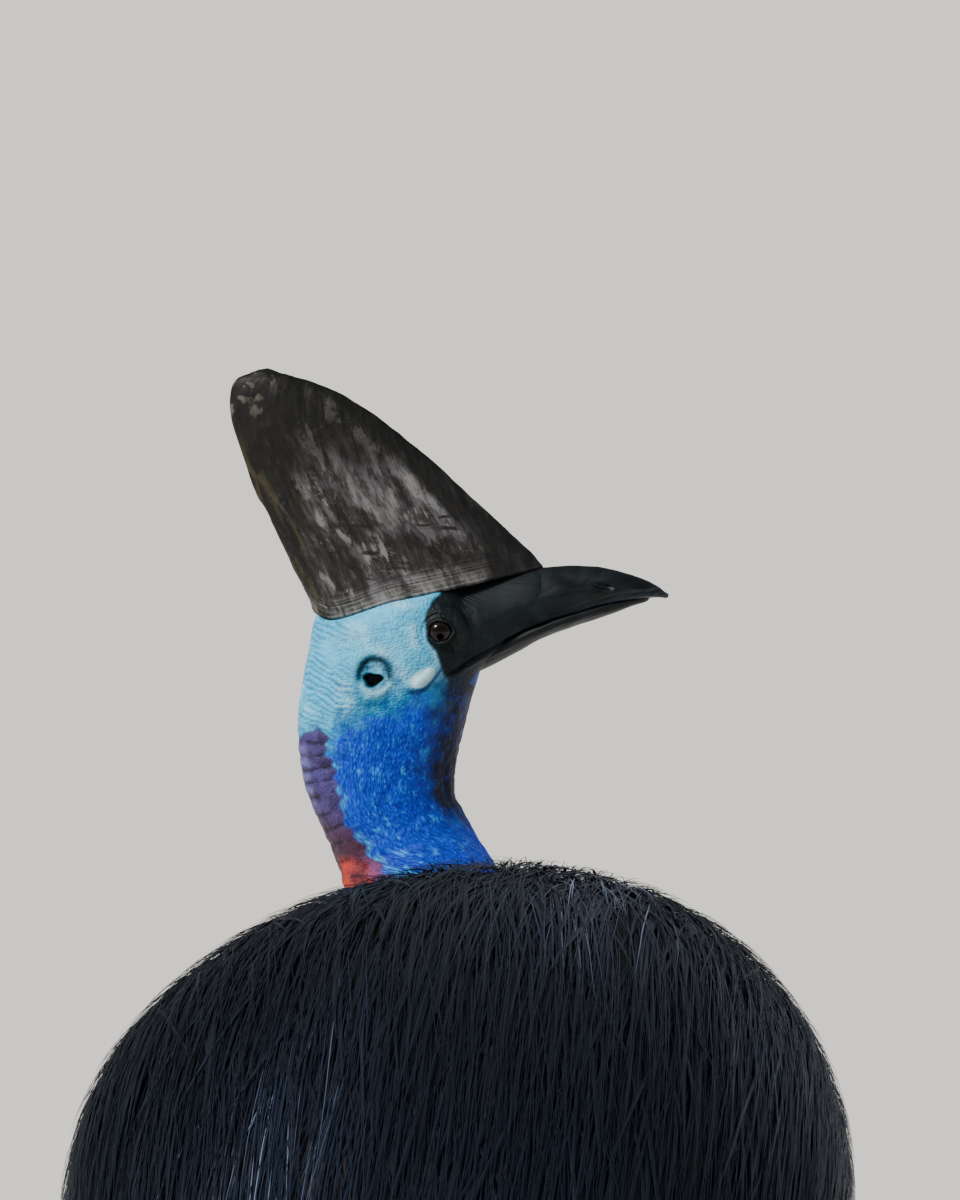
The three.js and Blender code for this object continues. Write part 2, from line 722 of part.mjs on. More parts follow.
// The bare leg from above the hock down into the foot, with scutes down its front.
function bareLeg(side) {
  const s = legStations(side);
  const curve = curveThrough([s.midTibia, s.shankTop, s.hock, s.midTarsus, s.ankle, s.sole]);
  const scuted = [];
  for (let t = SHANK.scutesFrom; t < SHANK.scutesTo; t += SHANK.scuteStep) {
    scuted.push(t + 0.004, t + SHANK.scuteStep - 0.001);
  }
  const rings = [...SHANK.plainRings, ...scuted, 0.9, 0.95, 1];
  const proud = (t) => (scuted.indexOf(t) % 2 === 1 ? SHANK.scuteRise : 0);
  return loft(
    (k) => {
      const t = rings[Math.round(k * (rings.length - 1))];
      const tangent = curve.getTangent(t);
      const upward = new THREE.Vector3().crossVectors(tangent, new THREE.Vector3(1, 0, 0)).normalize();
      const across = new THREE.Vector3().crossVectors(upward, tangent).normalize();
      return {
        centre: curve.getPoint(t),
        across,
        upward,
        width: through(SHANK.halfWidths, t * 5),
        height: through(SHANK.halfDepths, t * 5),
        plate: proud(t),
      };
    },
    rings.length + 1,
    10,
    (angle, [sin, cos], r) => [sin, cos * (1 + (r.plate * Math.max(cos, 0) ** 0.7) / r.height)],
  );
}

// The feathered thigh, as a cone that leaves the flank and ends above the hock.
function thighShape(side) {
  const s = legStations(side);
  const axis = curveThrough([s.flank, s.knee, s.midTibia, s.shankTop, s.hock]);
  const width = (t) => through(THIGH.halfWidths, t * 4);
  const depth = (t) => through(THIGH.halfDepths, t * 4);
  return { axis, width, depth };
}

function thighCore(side) {
  const { axis, width, depth } = thighShape(side);
  return tube(axis, (t) => [width(t), depth(t)], 8, 10);
}

// A point of the thigh's surface at a place along it and an angle round it.
function thighPoint({ axis, width, depth }, t, angle, off) {
  const tangent = axis.getTangent(t);
  const ahead = new THREE.Vector3().crossVectors(tangent, new THREE.Vector3(1, 0, 0)).normalize();
  const across = new THREE.Vector3().crossVectors(ahead, tangent).normalize();
  return axis
    .getPoint(t)
    .addScaledVector(across, Math.sin(angle) * (width(t) + off))
    .addScaledVector(ahead, Math.cos(angle) * (depth(t) + off));
}

function thighLocks(side) {
  const shape = thighShape(side);
  const made = [];
  for (const [row, place] of THIGH_LOCK.rowStarts.entries()) {
    for (let i = 0; i < THIGH_LOCK.round; i++) {
      const angle = ((i + (row % 2) / 2) / THIGH_LOCK.round) * TURN;
      const reach = THIGH_LOCK.reach + vary(0.02);
      const at = (share, off) => thighPoint(shape, place + share * reach, angle, off);
      const points = [at(0, -9), at(0.27, 4), at(0.52, 7), at(0.76, 7), at(1, 4)];
      const middle = shape.axis.getPoint(place + reach / 2);
      const outward = (p) => p.clone().sub(middle).normalize();
      const width = (TURN * shape.depth(place + reach / 2) * 1.2) / THIGH_LOCK.round;
      made.push({ points, width, thickness: THIGH_LOCK.thickness, outward });
    }
  }
  return made;
}

// A toe along the floor in the foot's frame, with its pads below and its scutes above.
function toe({ turn, length, radius, pads }, side, grow = 0) {
  const heading = degToRad(turn * side);
  const way = new THREE.Vector3(Math.sin(heading), -Math.cos(heading), 0);
  const at = (s, z) => way.clone().multiplyScalar(s).setZ(z).toArray();
  const curve = curveThrough([
    at(-8, radius * 1.25),
    at(length * 0.3, radius * 1.05),
    at(length * 0.65, radius * 0.9),
    at(length, radius * 0.74),
  ]);
  const scutes = Math.round(length / TOE_SCUTE.spacing);
  const section = (t) => {
    const pad = 1 + 0.1 * Math.cos(pads * TURN * t);
    const size = radius * lerp(1.12, 0.68, t) * pad + grow;
    return [size, size];
  };
  section.shape = (angle, [s, c], r, t) => {
    const plate = TOE_SCUTE.rise * Math.max(c, 0) * (1 - ((t * scutes) % 1));
    return [s, c * (1 + plate / r.height)];
  };
  return tube(curve, section, 2 * scutes + 3, 6, new THREE.Vector3(-way.y, way.x, 0));
}

// A claw at the end of a toe, bent down a little towards the floor.
function claw({ turn, length, radius, claw: reach, clawRadius }, side) {
  const heading = degToRad(turn * side);
  const way = new THREE.Vector3(Math.sin(heading), -Math.cos(heading), 0);
  const at = (s, z) => way.clone().multiplyScalar(length + s).setZ(z).toArray();
  const high = radius * 0.78;
  const curve = curveThrough([
    at(-8, high),
    at(reach * 0.3, high + 1),
    at(reach * 0.68, high * 0.72),
    at(reach, CLAW_TIP_HEIGHT),
  ]);
  const section = (t) => [clawRadius * 0.84 * (1 - 0.9 * t), clawRadius * (1 - 0.9 * t)];
  return tube(curve, section, 6, 6, new THREE.Vector3(-way.y, way.x, 0));
}

// Nodes

const FINISH = {
  feather: { color: 0x15171b, roughness: 0.62, metalness: 0 },
  blueSkin: { color: 0x1f6fc4, roughness: 0.5, metalness: 0 },
  paleSkin: { color: 0x7fc6d8, roughness: 0.5, metalness: 0 },
  redSkin: { color: 0xa8433f, roughness: 0.45, metalness: 0 },
  casqueHorn: { color: 0x3c3733, roughness: 0.6, metalness: 0 },
  billHorn: { color: 0x17191d, roughness: 0.38, metalness: 0 },
  eye: { color: 0x2b140c, roughness: 0.08, metalness: 0 },
  quill: { color: 0x101012, roughness: 0.35, metalness: 0 },
  legScale: { color: 0x57534a, roughness: 0.6, metalness: 0 },
  claw: { color: 0x2a2622, roughness: 0.4, metalness: 0 },
};

function node(name, solid, finish) {
  const mesh = new THREE.Mesh(geometryOf(solid), new THREE.MeshStandardMaterial(finish));
  mesh.name = name;
  return mesh;
}

const cowlThickness = (u) => lerp(COWL.foot, COWL.top, smoothstep(u, 0, PLUMAGE_LINE));

// The locks round the foot of the neck, which lie back over the breast and shoulders.
function collarLocks() {
  const made = [];
  for (const [row, start] of COWL_LOCK.rowStarts.entries()) {
    for (let i = 0; i < COWL_LOCK.round; i++) {
      const angle = ((i + row / 2) / COWL_LOCK.round) * TURN;
      const at = (s, off) => neckPoint(start - s, angle, cowlThickness(start - s) + off);
      const outward = (p) => p.clone().sub(neckRing(start - 0.4).centre).normalize();
      const points = [at(0, -7), at(0.2, 2), at(0.42, 5), at(0.66, 6), at(0.92, 5)];
      made.push({ points, width: COWL_LOCK.width, thickness: COWL_LOCK.thickness, outward });
    }
  }
  return made;
}

function buildBody(bird) {
  const core = torsoCore(CORE_DEPTH);
  const coreCut = torsoCore(CORE_DEPTH - GAP);
  const line = neckRing(PLUMAGE_LINE);
  const cowl = keepBeyond(
    neckSweep([0, 0.35, 0.7, 1, 1.3, PLUMAGE_LINE + 0.3], 14, cowlThickness, false),
    line.tangent.clone().negate(),
    line.centre,
  );
  const locks = [...collarLocks(), ...bodyLocks()];
  const wingCuts = [1, -1].map((side) => wingStub(side, GAP));
  const torso = join([core, cowl, ...locks.map((l) => lock(l))]).subtract(join(wingCuts));
  const coatCut = join([coreCut, torso, ...locks.map((l) => lock(l, GAP))]);
  bird.add(node("torso", largest(torso), FINISH.feather));
  return { coreCut, coatCut };
}

function buildNeckAndHead(bird) {
  const line = neckRing(PLUMAGE_LINE);
  const smooth = [PLUMAGE_LINE - 0.15, 1.5, 1.75, 2, 2.2];
  const stations = [...smooth, ...foldStations(NAPE_FOLD.low, NAPE_FOLD.high), 6.3];
  const skin = neckSweep(stations, NECK_SIDES);
  const lineCut = line.centre.clone().addScaledVector(line.tangent, GAP);
  const lower = below(keepBeyond(skin, line.tangent, lineCut), NECK_CUT_HEIGHT);
  const upper = below(above(skin, NECK_CUT_HEIGHT + GAP), HEAD_CUT_HEIGHT);
  bird.add(node("neck_lower", largest(lower), FINISH.blueSkin));
  bird.add(node("neck_upper", largest(upper), FINISH.blueSkin));

  const neckCut = neckSweep(stations, NECK_SIDES, GAP);
  bird.add(node("wattle_left", wattle(1, neckCut), FINISH.redSkin));
  bird.add(node("wattle_right", wattle(-1, neckCut), FINISH.redSkin));

  const head = new THREE.Group();
  head.position.copy(EYE_MIDDLE);
  head.rotation.z = Math.PI + HEAD_TURN; // it looks to the bird's right
  bird.add(head);
  const casqueCut = casque(GAP);
  const headFloor = HEAD_CUT_HEIGHT + GAP - EYE_MIDDLE.z;
  const headCut = join([skull(GAP, false), snout(GAP)]);
  head.add(
    node("head", largest(above(headSkin(), headFloor).subtract(casqueCut)), FINISH.paleSkin),
    node("casque", largest(casque()), FINISH.casqueHorn),
    node("bill_upper", upperBill(headCut, casqueCut), FINISH.billHorn),
    node("bill_lower", lowerBill(headCut), FINISH.billHorn),
  );
  for (const [name, side] of SIDES) {
    const eye = new THREE.Mesh(
      new THREE.SphereGeometry(EYE_RADIUS, 12, 8),
      new THREE.MeshStandardMaterial(FINISH.eye),
    );
    eye.name = `eye_${name}`;
    eye.position.set(0, side * EYE_OUT, 0);
    head.add(eye);
  }
}

function buildLeg(bird, name, side, body) {
  const s = legStations(side);
  const leg = bareLeg(side);
  const shankAxis = new THREE.Vector3(...s.hock).sub(new THREE.Vector3(...s.shankTop)).normalize();
  const shankTop = new THREE.Vector3(...s.shankTop).setZ(SHANK_TOP_HEIGHT);
  const thigh = join([
    keepBeyond(thighCore(side), shankAxis.clone().negate(), shankTop),
    ...thighLocks(side).map((l) => lock(l)),
  ]).subtract(body.coatCut);
  const topCut = shankTop.clone().addScaledVector(shankAxis, GAP);
  const shank = above(keepBeyond(leg, shankAxis, topCut), ANKLE_CUT_HEIGHT + GAP);
  bird.add(node(`thigh_${name}`, largest(thigh), FINISH.feather));
  bird.add(node(`shank_${name}`, largest(shank), FINISH.legScale));

  const footPlace = new THREE.Vector3(...s.sole).setZ(0);
  const foot = new THREE.Group();
  foot.position.copy(footPlace);
  const legEnd = below(leg, ANKLE_CUT_HEIGHT).translate([-footPlace.x, -footPlace.y, 0]);
  const toes = TOES.map((t) => toe(t, side));
  const heel = ball(HEEL.at, HEEL.sizes, 8, 6);
  const whole = below(above(join([legEnd, heel, ...toes]), 0), ANKLE_CUT_HEIGHT);
  foot.add(node(`foot_${name}`, largest(whole), FINISH.legScale));
  for (const t of TOES) {
    const clawSolid = above(claw(t, side).subtract(toe(t, side, GAP)), 0);
    foot.add(node(`claw_${t.name}_${name}`, largest(clawSolid), FINISH.claw));
  }
  bird.add(foot);
}

function buildWings(bird, body) {
  for (const [name, side] of SIDES) {
    bird.add(node(`wing_${name}`, wing(side, body.coreCut), FINISH.quill));
  }
}

const bird = new THREE.Group();
const body = buildBody(bird);
buildNeckAndHead(bird);
for (const [name, side] of SIDES) buildLeg(bird, name, side, body);
buildWings(bird, body);

// The origin is on the floor, under the middle of the whole bird.
const box = new THREE.Box3().setFromObject(bird);
const middle = box.getCenter(new THREE.Vector3());
bird.position.set(-middle.x, -middle.y, 0);
const cassowary = new THREE.Group();
cassowary.add(bird);

export default cassowary;
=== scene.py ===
"""A life-size southern cassowary, standing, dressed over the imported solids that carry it.

Shapes are worked out in millimetres in the bird's own frame (it faces -Y, its left side is +X, the floor
is Z = 0) and are turned to metres in the row frame when a mesh is made.
"""

import logging
import math
from dataclasses import dataclass, field
from enum import Enum
from typing import Callable

import bpy
import numpy as np
from mathutils import Matrix, Vector


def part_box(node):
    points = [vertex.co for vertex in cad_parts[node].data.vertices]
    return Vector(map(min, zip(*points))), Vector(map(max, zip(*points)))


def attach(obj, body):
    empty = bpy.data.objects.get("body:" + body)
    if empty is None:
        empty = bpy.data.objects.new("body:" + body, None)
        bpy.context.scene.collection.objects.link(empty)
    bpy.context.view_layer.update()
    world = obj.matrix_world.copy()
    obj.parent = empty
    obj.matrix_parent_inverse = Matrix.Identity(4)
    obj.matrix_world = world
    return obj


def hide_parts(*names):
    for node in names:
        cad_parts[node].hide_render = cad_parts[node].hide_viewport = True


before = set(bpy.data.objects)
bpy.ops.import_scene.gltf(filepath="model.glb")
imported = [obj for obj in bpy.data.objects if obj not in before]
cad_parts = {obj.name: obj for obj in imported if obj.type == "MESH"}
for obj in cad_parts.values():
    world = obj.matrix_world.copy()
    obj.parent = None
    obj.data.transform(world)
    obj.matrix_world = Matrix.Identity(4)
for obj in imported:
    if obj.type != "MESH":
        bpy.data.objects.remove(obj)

LOG = logging.getLogger("cassowary")
Array = np.ndarray
Piece = bpy.types.Object
Material = bpy.types.Material
Socket = bpy.types.NodeSocket
Place = Callable[[Array, Array], Array]
Halves = Callable[[Array], tuple[Array, Array]]
Bend = Callable[[Array, Array], tuple[Array, Array]]
Lay = Callable[[str, Array], None]
Rows = tuple[tuple[float, ...], ...]
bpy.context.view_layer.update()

MM = 0.001
TURN = 2 * math.pi
SEED = 11


class Side(Enum):
    """The two sides of the bird, with the sign of X on each."""

    LEFT = 1
    RIGHT = -1

    @property
    def label(self) -> str:
        """The side's name in node names."""
        return self.name.lower()


# The middle of the head between its eyes, in the bird's frame
EYE_MIDDLE = np.array([48.0, -446.0, 1049.0])
HEAD_TURN = math.radians(4)
EYE_RISE = 1.6  # how far the visible eyes stand over that middle, in millimetres
UP = np.array([0.0, 0.0, 1.0])
DOWN = -UP
ACROSS = np.array([1.0, 0.0, 0.0])
LEVEL = np.array([1.0, 1.0, 0.0])
HEAD_FORWARD = np.array([-math.cos(HEAD_TURN), -math.sin(HEAD_TURN), 0.0])
HEAD_LEFT = np.array([math.sin(HEAD_TURN), -math.cos(HEAD_TURN), 0.0])


def node_middle(node: str) -> Array:
    """The middle of a CAD node's box, in metres."""
    low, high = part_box(node)
    return (np.array(low) + np.array(high)) / 2


EYES_IN_ROW = (node_middle("eye_left") + node_middle("eye_right")) / 2
ROW_SHIFT = EYES_IN_ROW - EYE_MIDDLE * MM


# Numbers


def unit(v: Array) -> Array:
    """Vectors of length one along the last axis."""
    return v / np.maximum(np.linalg.norm(v, axis=-1, keepdims=True), 1e-12)


def smooth(x: Array | float, low: float, high: float) -> Array:
    """A smooth step from 0 at low to 1 at high."""
    t = np.clip((np.asarray(x, float) - low) / (high - low), 0, 1)
    return t * t * (3 - 2 * t)


def mix(a: Array, b: Array, share: Array | float) -> Array:
    """A blend of a and b."""
    return a + (b - a) * share


def bell(x: Array, width: float) -> Array:
    """A bump of height 1 at x = 0 that fades over about width."""
    return np.exp(-((x / width) ** 2))


def through(rows: Array, u: Array | float) -> Array:
    """Values that pass smoothly through rows at whole numbers.

    Args:
        rows: one row of values per station.
        u: places along the stations.

    Returns:
        One row of values per place.
    """
    rows = np.asarray(rows, float)
    u = np.atleast_1d(np.asarray(u, float))
    last = len(rows) - 1
    i = np.clip(np.floor(u).astype(int), 0, last - 1)
    f = (u - i)[:, None] if rows.ndim > 1 else u - i
    a, b, c, d = (rows[np.clip(i + k, 0, last)] for k in (-1, 0, 1, 2))
    f2, f3 = f * f, f * f * f
    flat = (2 * f3 - 3 * f2 + 1) * b + (3 * f2 - 2 * f3) * c
    return flat + (f3 - 2 * f2 + f) * (c - a) / 2 + (f3 - f2) * (d - b) / 2


def parts(count: int, size: int = 8000) -> list[slice]:
    """Slices that take count rows in turn, so that large tables of distances fit in memory."""
    return [slice(start, start + size) for start in range(0, count, size)]


def scrambled(at: Array, salt: int = 0) -> Array:
    """A whole number for each lattice point that looks drawn by chance."""
    h = (at[:, 0] * 73856093) ^ (at[:, 1] * 19349663) ^ (at[:, 2] * 83492791) + salt
    return (h ^ (h >> 13)) * 1274126177


def lattice_noise(p: Array, size: float | tuple[float, ...], seed: int = 0) -> Array:
    """Smooth noise from -1 to 1 at points.

    Args:
        p: points, one per row.
        size: the size of a bump, in the units of p, the same or per axis.
        seed: picks another pattern.

    Returns:
        One value per point.
    """
    q = p / np.asarray(size, float) + 31.7 * seed
    base = np.floor(q).astype(np.int64)
    f = q - base
    f = f * f * (3 - 2 * f)
    total = np.zeros(len(p))
    for corner in np.ndindex(2, 2, 2):
        h = scrambled(base + np.array(corner))
        value = ((h ^ (h >> 16)) & 0xFFFF) / 32767.5 - 1
        weight = np.prod(np.where(corner, f, 1 - f), axis=1)
        total += value * weight
    return total


def layered_noise(p: Array, size: float, seed: int = 0, layers: int = 3) -> Array:
    """Noise with finer layers on top, each half as high and half as wide."""
    return sum(lattice_noise(p, size / 2**k, seed + k) / 2**k for k in range(layers))


def cell_bumps(p: Array, size: float | tuple[float, ...], seed: int = 0) -> Array:
    """How near each point is to the middle of its cell, from 0 between cells to 1."""
    q = p / np.asarray(size, float)
    base = np.floor(q).astype(np.int64)
    best = np.full(len(p), 9.0)
    for step in np.ndindex(3, 3, 3):
        at = base + np.array(step) - 1
        h = scrambled(at, seed * 977)
        jitter = np.stack([((h >> s) & 0xFF) / 255 for s in (3, 11, 19)], axis=1)
        best = np.minimum(best, np.sum((at + jitter - q) ** 2, axis=1))
    return np.clip(1 - np.sqrt(best), 0, 1)


# The head's frame and the neck


def head_to_bird(forward: Array, left: Array, up: Array) -> Array:
    """Points of the head's own frame in the bird's frame, in millimetres."""
    forward, left, up = np.broadcast_arrays(forward, left, up)
    return EYE_MIDDLE + forward[..., None] * HEAD_FORWARD + left[..., None] * HEAD_LEFT + up[..., None] * UP


def bird_to_head(p: Array) -> tuple[Array, Array, Array]:
    """Forward, left and up of the head's own frame for points in the bird's frame."""
    away = p - EYE_MIDDLE
    return away @ HEAD_FORWARD, away @ HEAD_LEFT, away[..., 2]


def turned(v: Array, angle: float) -> Array:
    """Vectors turned about the vertical."""
    c, s = math.cos(angle), math.sin(angle)
    return np.stack([c * v[..., 0] - s * v[..., 1], s * v[..., 0] + c * v[..., 1], v[..., 2]], axis=-1)


def oval(
    centre: Array,
    angle: Array,
    width: Array,
    across: Array,
    height: Array,
    upward: Array,
    fade: Array | float = 1.0,
) -> Array:
    """Points of the ovals round centres, upward being at angle 0, drawn in by fade."""
    out = (np.sin(angle) * width * fade)[:, None] * across
    return centre + out + (np.cos(angle) * height * fade)[:, None] * upward


def ball_parts(share: Array, angle: Array) -> tuple[Array, Array, Array]:
    """The two parts across the axis, and the one along it, of a unit sphere's points."""
    ring = np.sin(share * math.pi)
    return ring * np.sin(angle), ring * np.cos(angle), -np.cos(share * math.pi)


@dataclass(frozen=True)
class NeckAxis:
    """The neck from the breast to the crown, as sections round a bent axis.

    Each station gives the centre behind, beside and above the eyes' middle, the way that the nape faces,
    half depth and half width.
    """

    stations: tuple[tuple[float, ...], ...] = (
        (-40, 165, -264, 0, 0.46, 0.89, 62, 54),
        (-30, 80, -223, 0.35, 0.45, 0.82, 55, 47),
        (-7, 26, -177, 0.8, 0.35, 0.5, 46, 40),
        (14, 5, -139, 0.97, 0.15, 0.2, 42, 35.5),
        (23.5, 1, -118, 1, 0.05, 0.12, 39.5, 33.5),
        (35, 0, -91, 1, 0, 0, 43, 32),
        (34, 0, -54, 1, 0, 0, 48, 32),
        (28.5, 0, -28, 1, 0, 0, 50.5, 32.5),
        (24.5, 0, -10, 1, 0, 0, 51, 32),
        (24, 0, 8, 1, 0, 0, 47.5, 29.5),
        (21, 0, 21, 1, 0, 0, 38, 24),
        (19, 0, 31, 1, 0, 0, 24, 14),
    )
    crown: float = 11.0
    softness: float = 14.0  # millimetres over which a point's place is averaged, so that no bend shows
    samples: int = 420  # places along the axis that a point is compared with

    def ring(self, u: Array | float) -> dict[str, Array]:
        """The sections at stations u: centre, tangent, across, nape and the half sizes."""
        u = np.atleast_1d(np.asarray(u, float))
        rows = np.array(self.stations, float)
        here = through(rows, u)
        tangent = unit(through(rows, u + 0.05)[:, :3] - here[:, :3])
        level = 1 - smooth(5 - u, 0, 1.5)[:, None]
        tangent = unit(mix(tangent, UP, level))
        nape = here[:, 3:6]
        nape = unit(nape - tangent * np.sum(nape * tangent, axis=1, keepdims=True))
        centre, tangent, nape = (turned(v, HEAD_TURN) for v in (here[:, :3], tangent, nape))
        return {
            "centre": centre + EYE_MIDDLE,
            "tangent": tangent,
            "across": unit(np.cross(tangent, nape)),
            "nape": nape,
            "depth": here[:, 6],
            "width": here[:, 7],
        }

    def point(self, u: Array, angle: Array, grow: Array | float = 0) -> Array:
        """Points of the neck's surface, the nape being at angle 0, moved outwards by grow."""
        r = self.ring(u)
        return oval(r["centre"], angle, r["width"] + grow, r["across"], r["depth"] + grow, r["nape"])

    def locate(self, p: Array, low: float = 0.0) -> tuple[Array, Array, Array]:
        """Where points lie along and round the neck.

        Args:
            p: points in the bird's frame.
            low: the lowest station that is looked at.

        Returns:
            The station, the angle round the axis from the nape, and the length along the axis.
        """
        u = np.linspace(low, self.crown, self.samples)
        centre = self.ring(u)["centre"]
        along = np.concatenate([[0], np.cumsum(np.linalg.norm(np.diff(centre, axis=0), axis=1))])
        size = np.gradient(along)
        found = np.empty(len(p))
        for rows in parts(len(p)):
            gap = np.sum((p[rows, None, :] - centre[None]) ** 2, axis=2)
            weight = np.exp((gap.min(axis=1, keepdims=True) - gap) / (2 * self.softness**2)) * size
            found[rows] = weight @ u / weight.sum(axis=1)
        r = self.ring(found)
        away = p - r["centre"]
        side = np.sum(away * r["across"], axis=1) / r["width"]
        back = np.sum(away * r["nape"], axis=1) / r["depth"]
        return found, np.arctan2(side, back), np.interp(found, u, along)


NECK = NeckAxis()


# Meshes


def deselect() -> None:
    """Selects nothing, in object mode."""
    if bpy.context.mode != "OBJECT":
        bpy.ops.object.mode_set(mode="OBJECT")
    bpy.ops.object.select_all(action="DESELECT")


def make_active(piece: Piece) -> None:
    """Selects only this piece."""
    deselect()
    piece.select_set(True)
    bpy.context.view_layer.objects.active = piece


def fetch(items: bpy.types.bpy_prop_collection, name: str, width: int = 1, kind: type = float) -> Array:
    """One property of every item of a mesh, as one row of width numbers each."""
    found = np.empty(len(items) * width, kind)
    items.foreach_get(name, found)
    return found if width == 1 else found.reshape(-1, width)


def places(piece: Piece) -> Array:
    """A piece's vertices in millimetres in the bird's frame."""
    return (fetch(piece.data.vertices, "co", 3) - ROW_SHIFT) / MM


def put_places(piece: Piece, p: Array) -> None:
    """Moves a piece's vertices to points in millimetres in the bird's frame."""
    piece.data.vertices.foreach_set("co", (p * MM + ROW_SHIFT).ravel())
    piece.data.update()


def normals(piece: Piece) -> Array:
    """A piece's vertex normals."""
    return fetch(piece.data.vertex_normals, "vector", 3, np.float32).astype(float)


def edit_all(piece: Piece) -> None:
    """Opens a piece in edit mode with all of it selected."""
    make_active(piece)
    bpy.ops.object.mode_set(mode="EDIT")
    bpy.ops.mesh.select_all(action="SELECT")


def face_out(piece: Piece) -> None:
    """Merges doubles and turns a closed piece's faces outwards."""
    edit_all(piece)
    bpy.ops.mesh.remove_doubles(threshold=1e-6)
    bpy.ops.mesh.normals_make_consistent(inside=False)
    bpy.ops.object.mode_set(mode="OBJECT")


def rounded(piece: Piece) -> Piece:
    """Shades a piece smooth."""
    make_active(piece)
    bpy.ops.object.shade_smooth()
    return piece


def apply(piece: Piece, kind: str, **settings: object) -> None:
    """Adds a modifier with its settings and applies it."""
    make_active(piece)
    modifier = piece.modifiers.new(kind.title(), kind)
    for name, value in settings.items():
        setattr(modifier, name, value)
    bpy.ops.object.modifier_apply(modifier=modifier.name)


def joined(name: str, pieces: list[Piece]) -> Piece:
    """Joins pieces into one mesh under a name."""
    deselect()
    for piece in pieces:
        piece.select_set(True)
    bpy.context.view_layer.objects.active = pieces[0]
    bpy.ops.object.join()
    pieces[0].name = pieces[0].data.name = name
    return pieces[0]


def shaped_ball(name: str, place: Place, rings: int, sides: int) -> Piece:
    """Adds a sphere and moves each of its points to where place puts it.

    Args:
        name: the piece's name.
        place: gives points in millimetres for shares 0 to 1 from pole to pole and angles round.
        rings: rings between the poles.
        sides: points round a ring.

    Returns:
        The new piece, closed and facing out.
    """
    deselect()
    bpy.ops.mesh.primitive_uv_sphere_add(segments=sides, ring_count=rings, radius=1)
    piece = bpy.context.object
    piece.name = piece.data.name = name
    ball = fetch(piece.data.vertices, "co", 3)
    share = np.arccos(np.clip(-ball[:, 2], -1, 1)) / math.pi
    put_places(piece, place(share, np.arctan2(ball[:, 0], ball[:, 1])))
    face_out(piece)
    return rounded(piece)


def rounded_ends(share: Array, reach: float) -> Array:
    """How wide a form is along its length, with round ends over a share of it."""
    near = np.clip(np.minimum(share, 1 - share) / reach, 0, 1)
    return np.sqrt(np.clip(1 - (1 - near) ** 2, 0, 1))


def tube_along(
    name: str, path: Array, half: Halves, rings: int, sides: int, end: float, aside: Array
) -> Piece:
    """A tube along a smooth path through points, with round ends.

    Args:
        name: the piece's name.
        path: the points that it follows, in millimetres.
        half: gives the half width and half height at shares of the length.
        rings: rings along it.
        sides: points round it.
        end: share of the length that each round end takes.
        aside: the way that the width lies.

    Returns:
        The new piece.
    """
    last = len(path) - 1

    def place(share: Array, angle: Array) -> Array:
        centre = through(path, share * last)
        ahead, behind = (through(path, np.clip(share + step, 0, 1) * last) for step in (0.004, -0.004))
        tangent = unit(ahead - behind)
        high = unit(np.cross(tangent, aside))
        wide = unit(np.cross(high, tangent))
        width, height = half(share)
        return oval(centre, angle, width, wide, height, high, rounded_ends(share, end))

    return shaped_ball(name, place, rings, sides)


def set_attribute(piece: Piece, name: str, values: Array) -> None:
    """Stores one number, or one vector, per vertex on a piece."""
    kind = "FLOAT" if values.ndim == 1 else "FLOAT_VECTOR"
    layer = piece.data.attributes.new(name, kind, "POINT")
    layer.data.foreach_set("value" if values.ndim == 1 else "vector", values.astype(np.float32).ravel())


def set_colours(piece: Piece, name: str, values: Array) -> None:
    """Stores one linear colour per vertex on a piece."""
    layer = piece.data.attributes.new(name, "FLOAT_COLOR", "POINT")
    rgba = np.concatenate([values, np.ones((len(values), 1))], axis=1)
    layer.data.foreach_set("color", rgba.astype(np.float32).ravel())


def set_uv(piece: Piece, name: str, per_vertex: Array) -> None:
    """Gives a piece a UV map from one place per vertex."""
    layer = piece.data.uv_layers.new(name=name)
    corner = fetch(piece.data.loops, "vertex_index", kind=np.int32)
    layer.uv.foreach_set("vector", per_vertex[corner].astype(np.float32).ravel())


# Materials

TIMES = {"operation": "MULTIPLY"}
OVER = {"data_type": "RGBA"}
SHADE = {"data_type": "RGBA", "blend_type": "MULTIPLY"}
BLACK = "#000000"
WHITE = "#ffffff"


def linear(code: str) -> tuple[float, float, float, float]:
    """A linear colour for an sRGB hex value."""
    shares = [int(code[i : i + 2], 16) / 255 for i in (1, 3, 5)]
    red, green, blue = (c / 12.92 if c <= 0.04045 else ((c + 0.055) / 1.055) ** 2.4 for c in shares)
    return red, green, blue, 1.0


def tone(code: str) -> Array:
    """A linear colour for an sRGB hex value, as an array."""
    return np.array(linear(code)[:3])


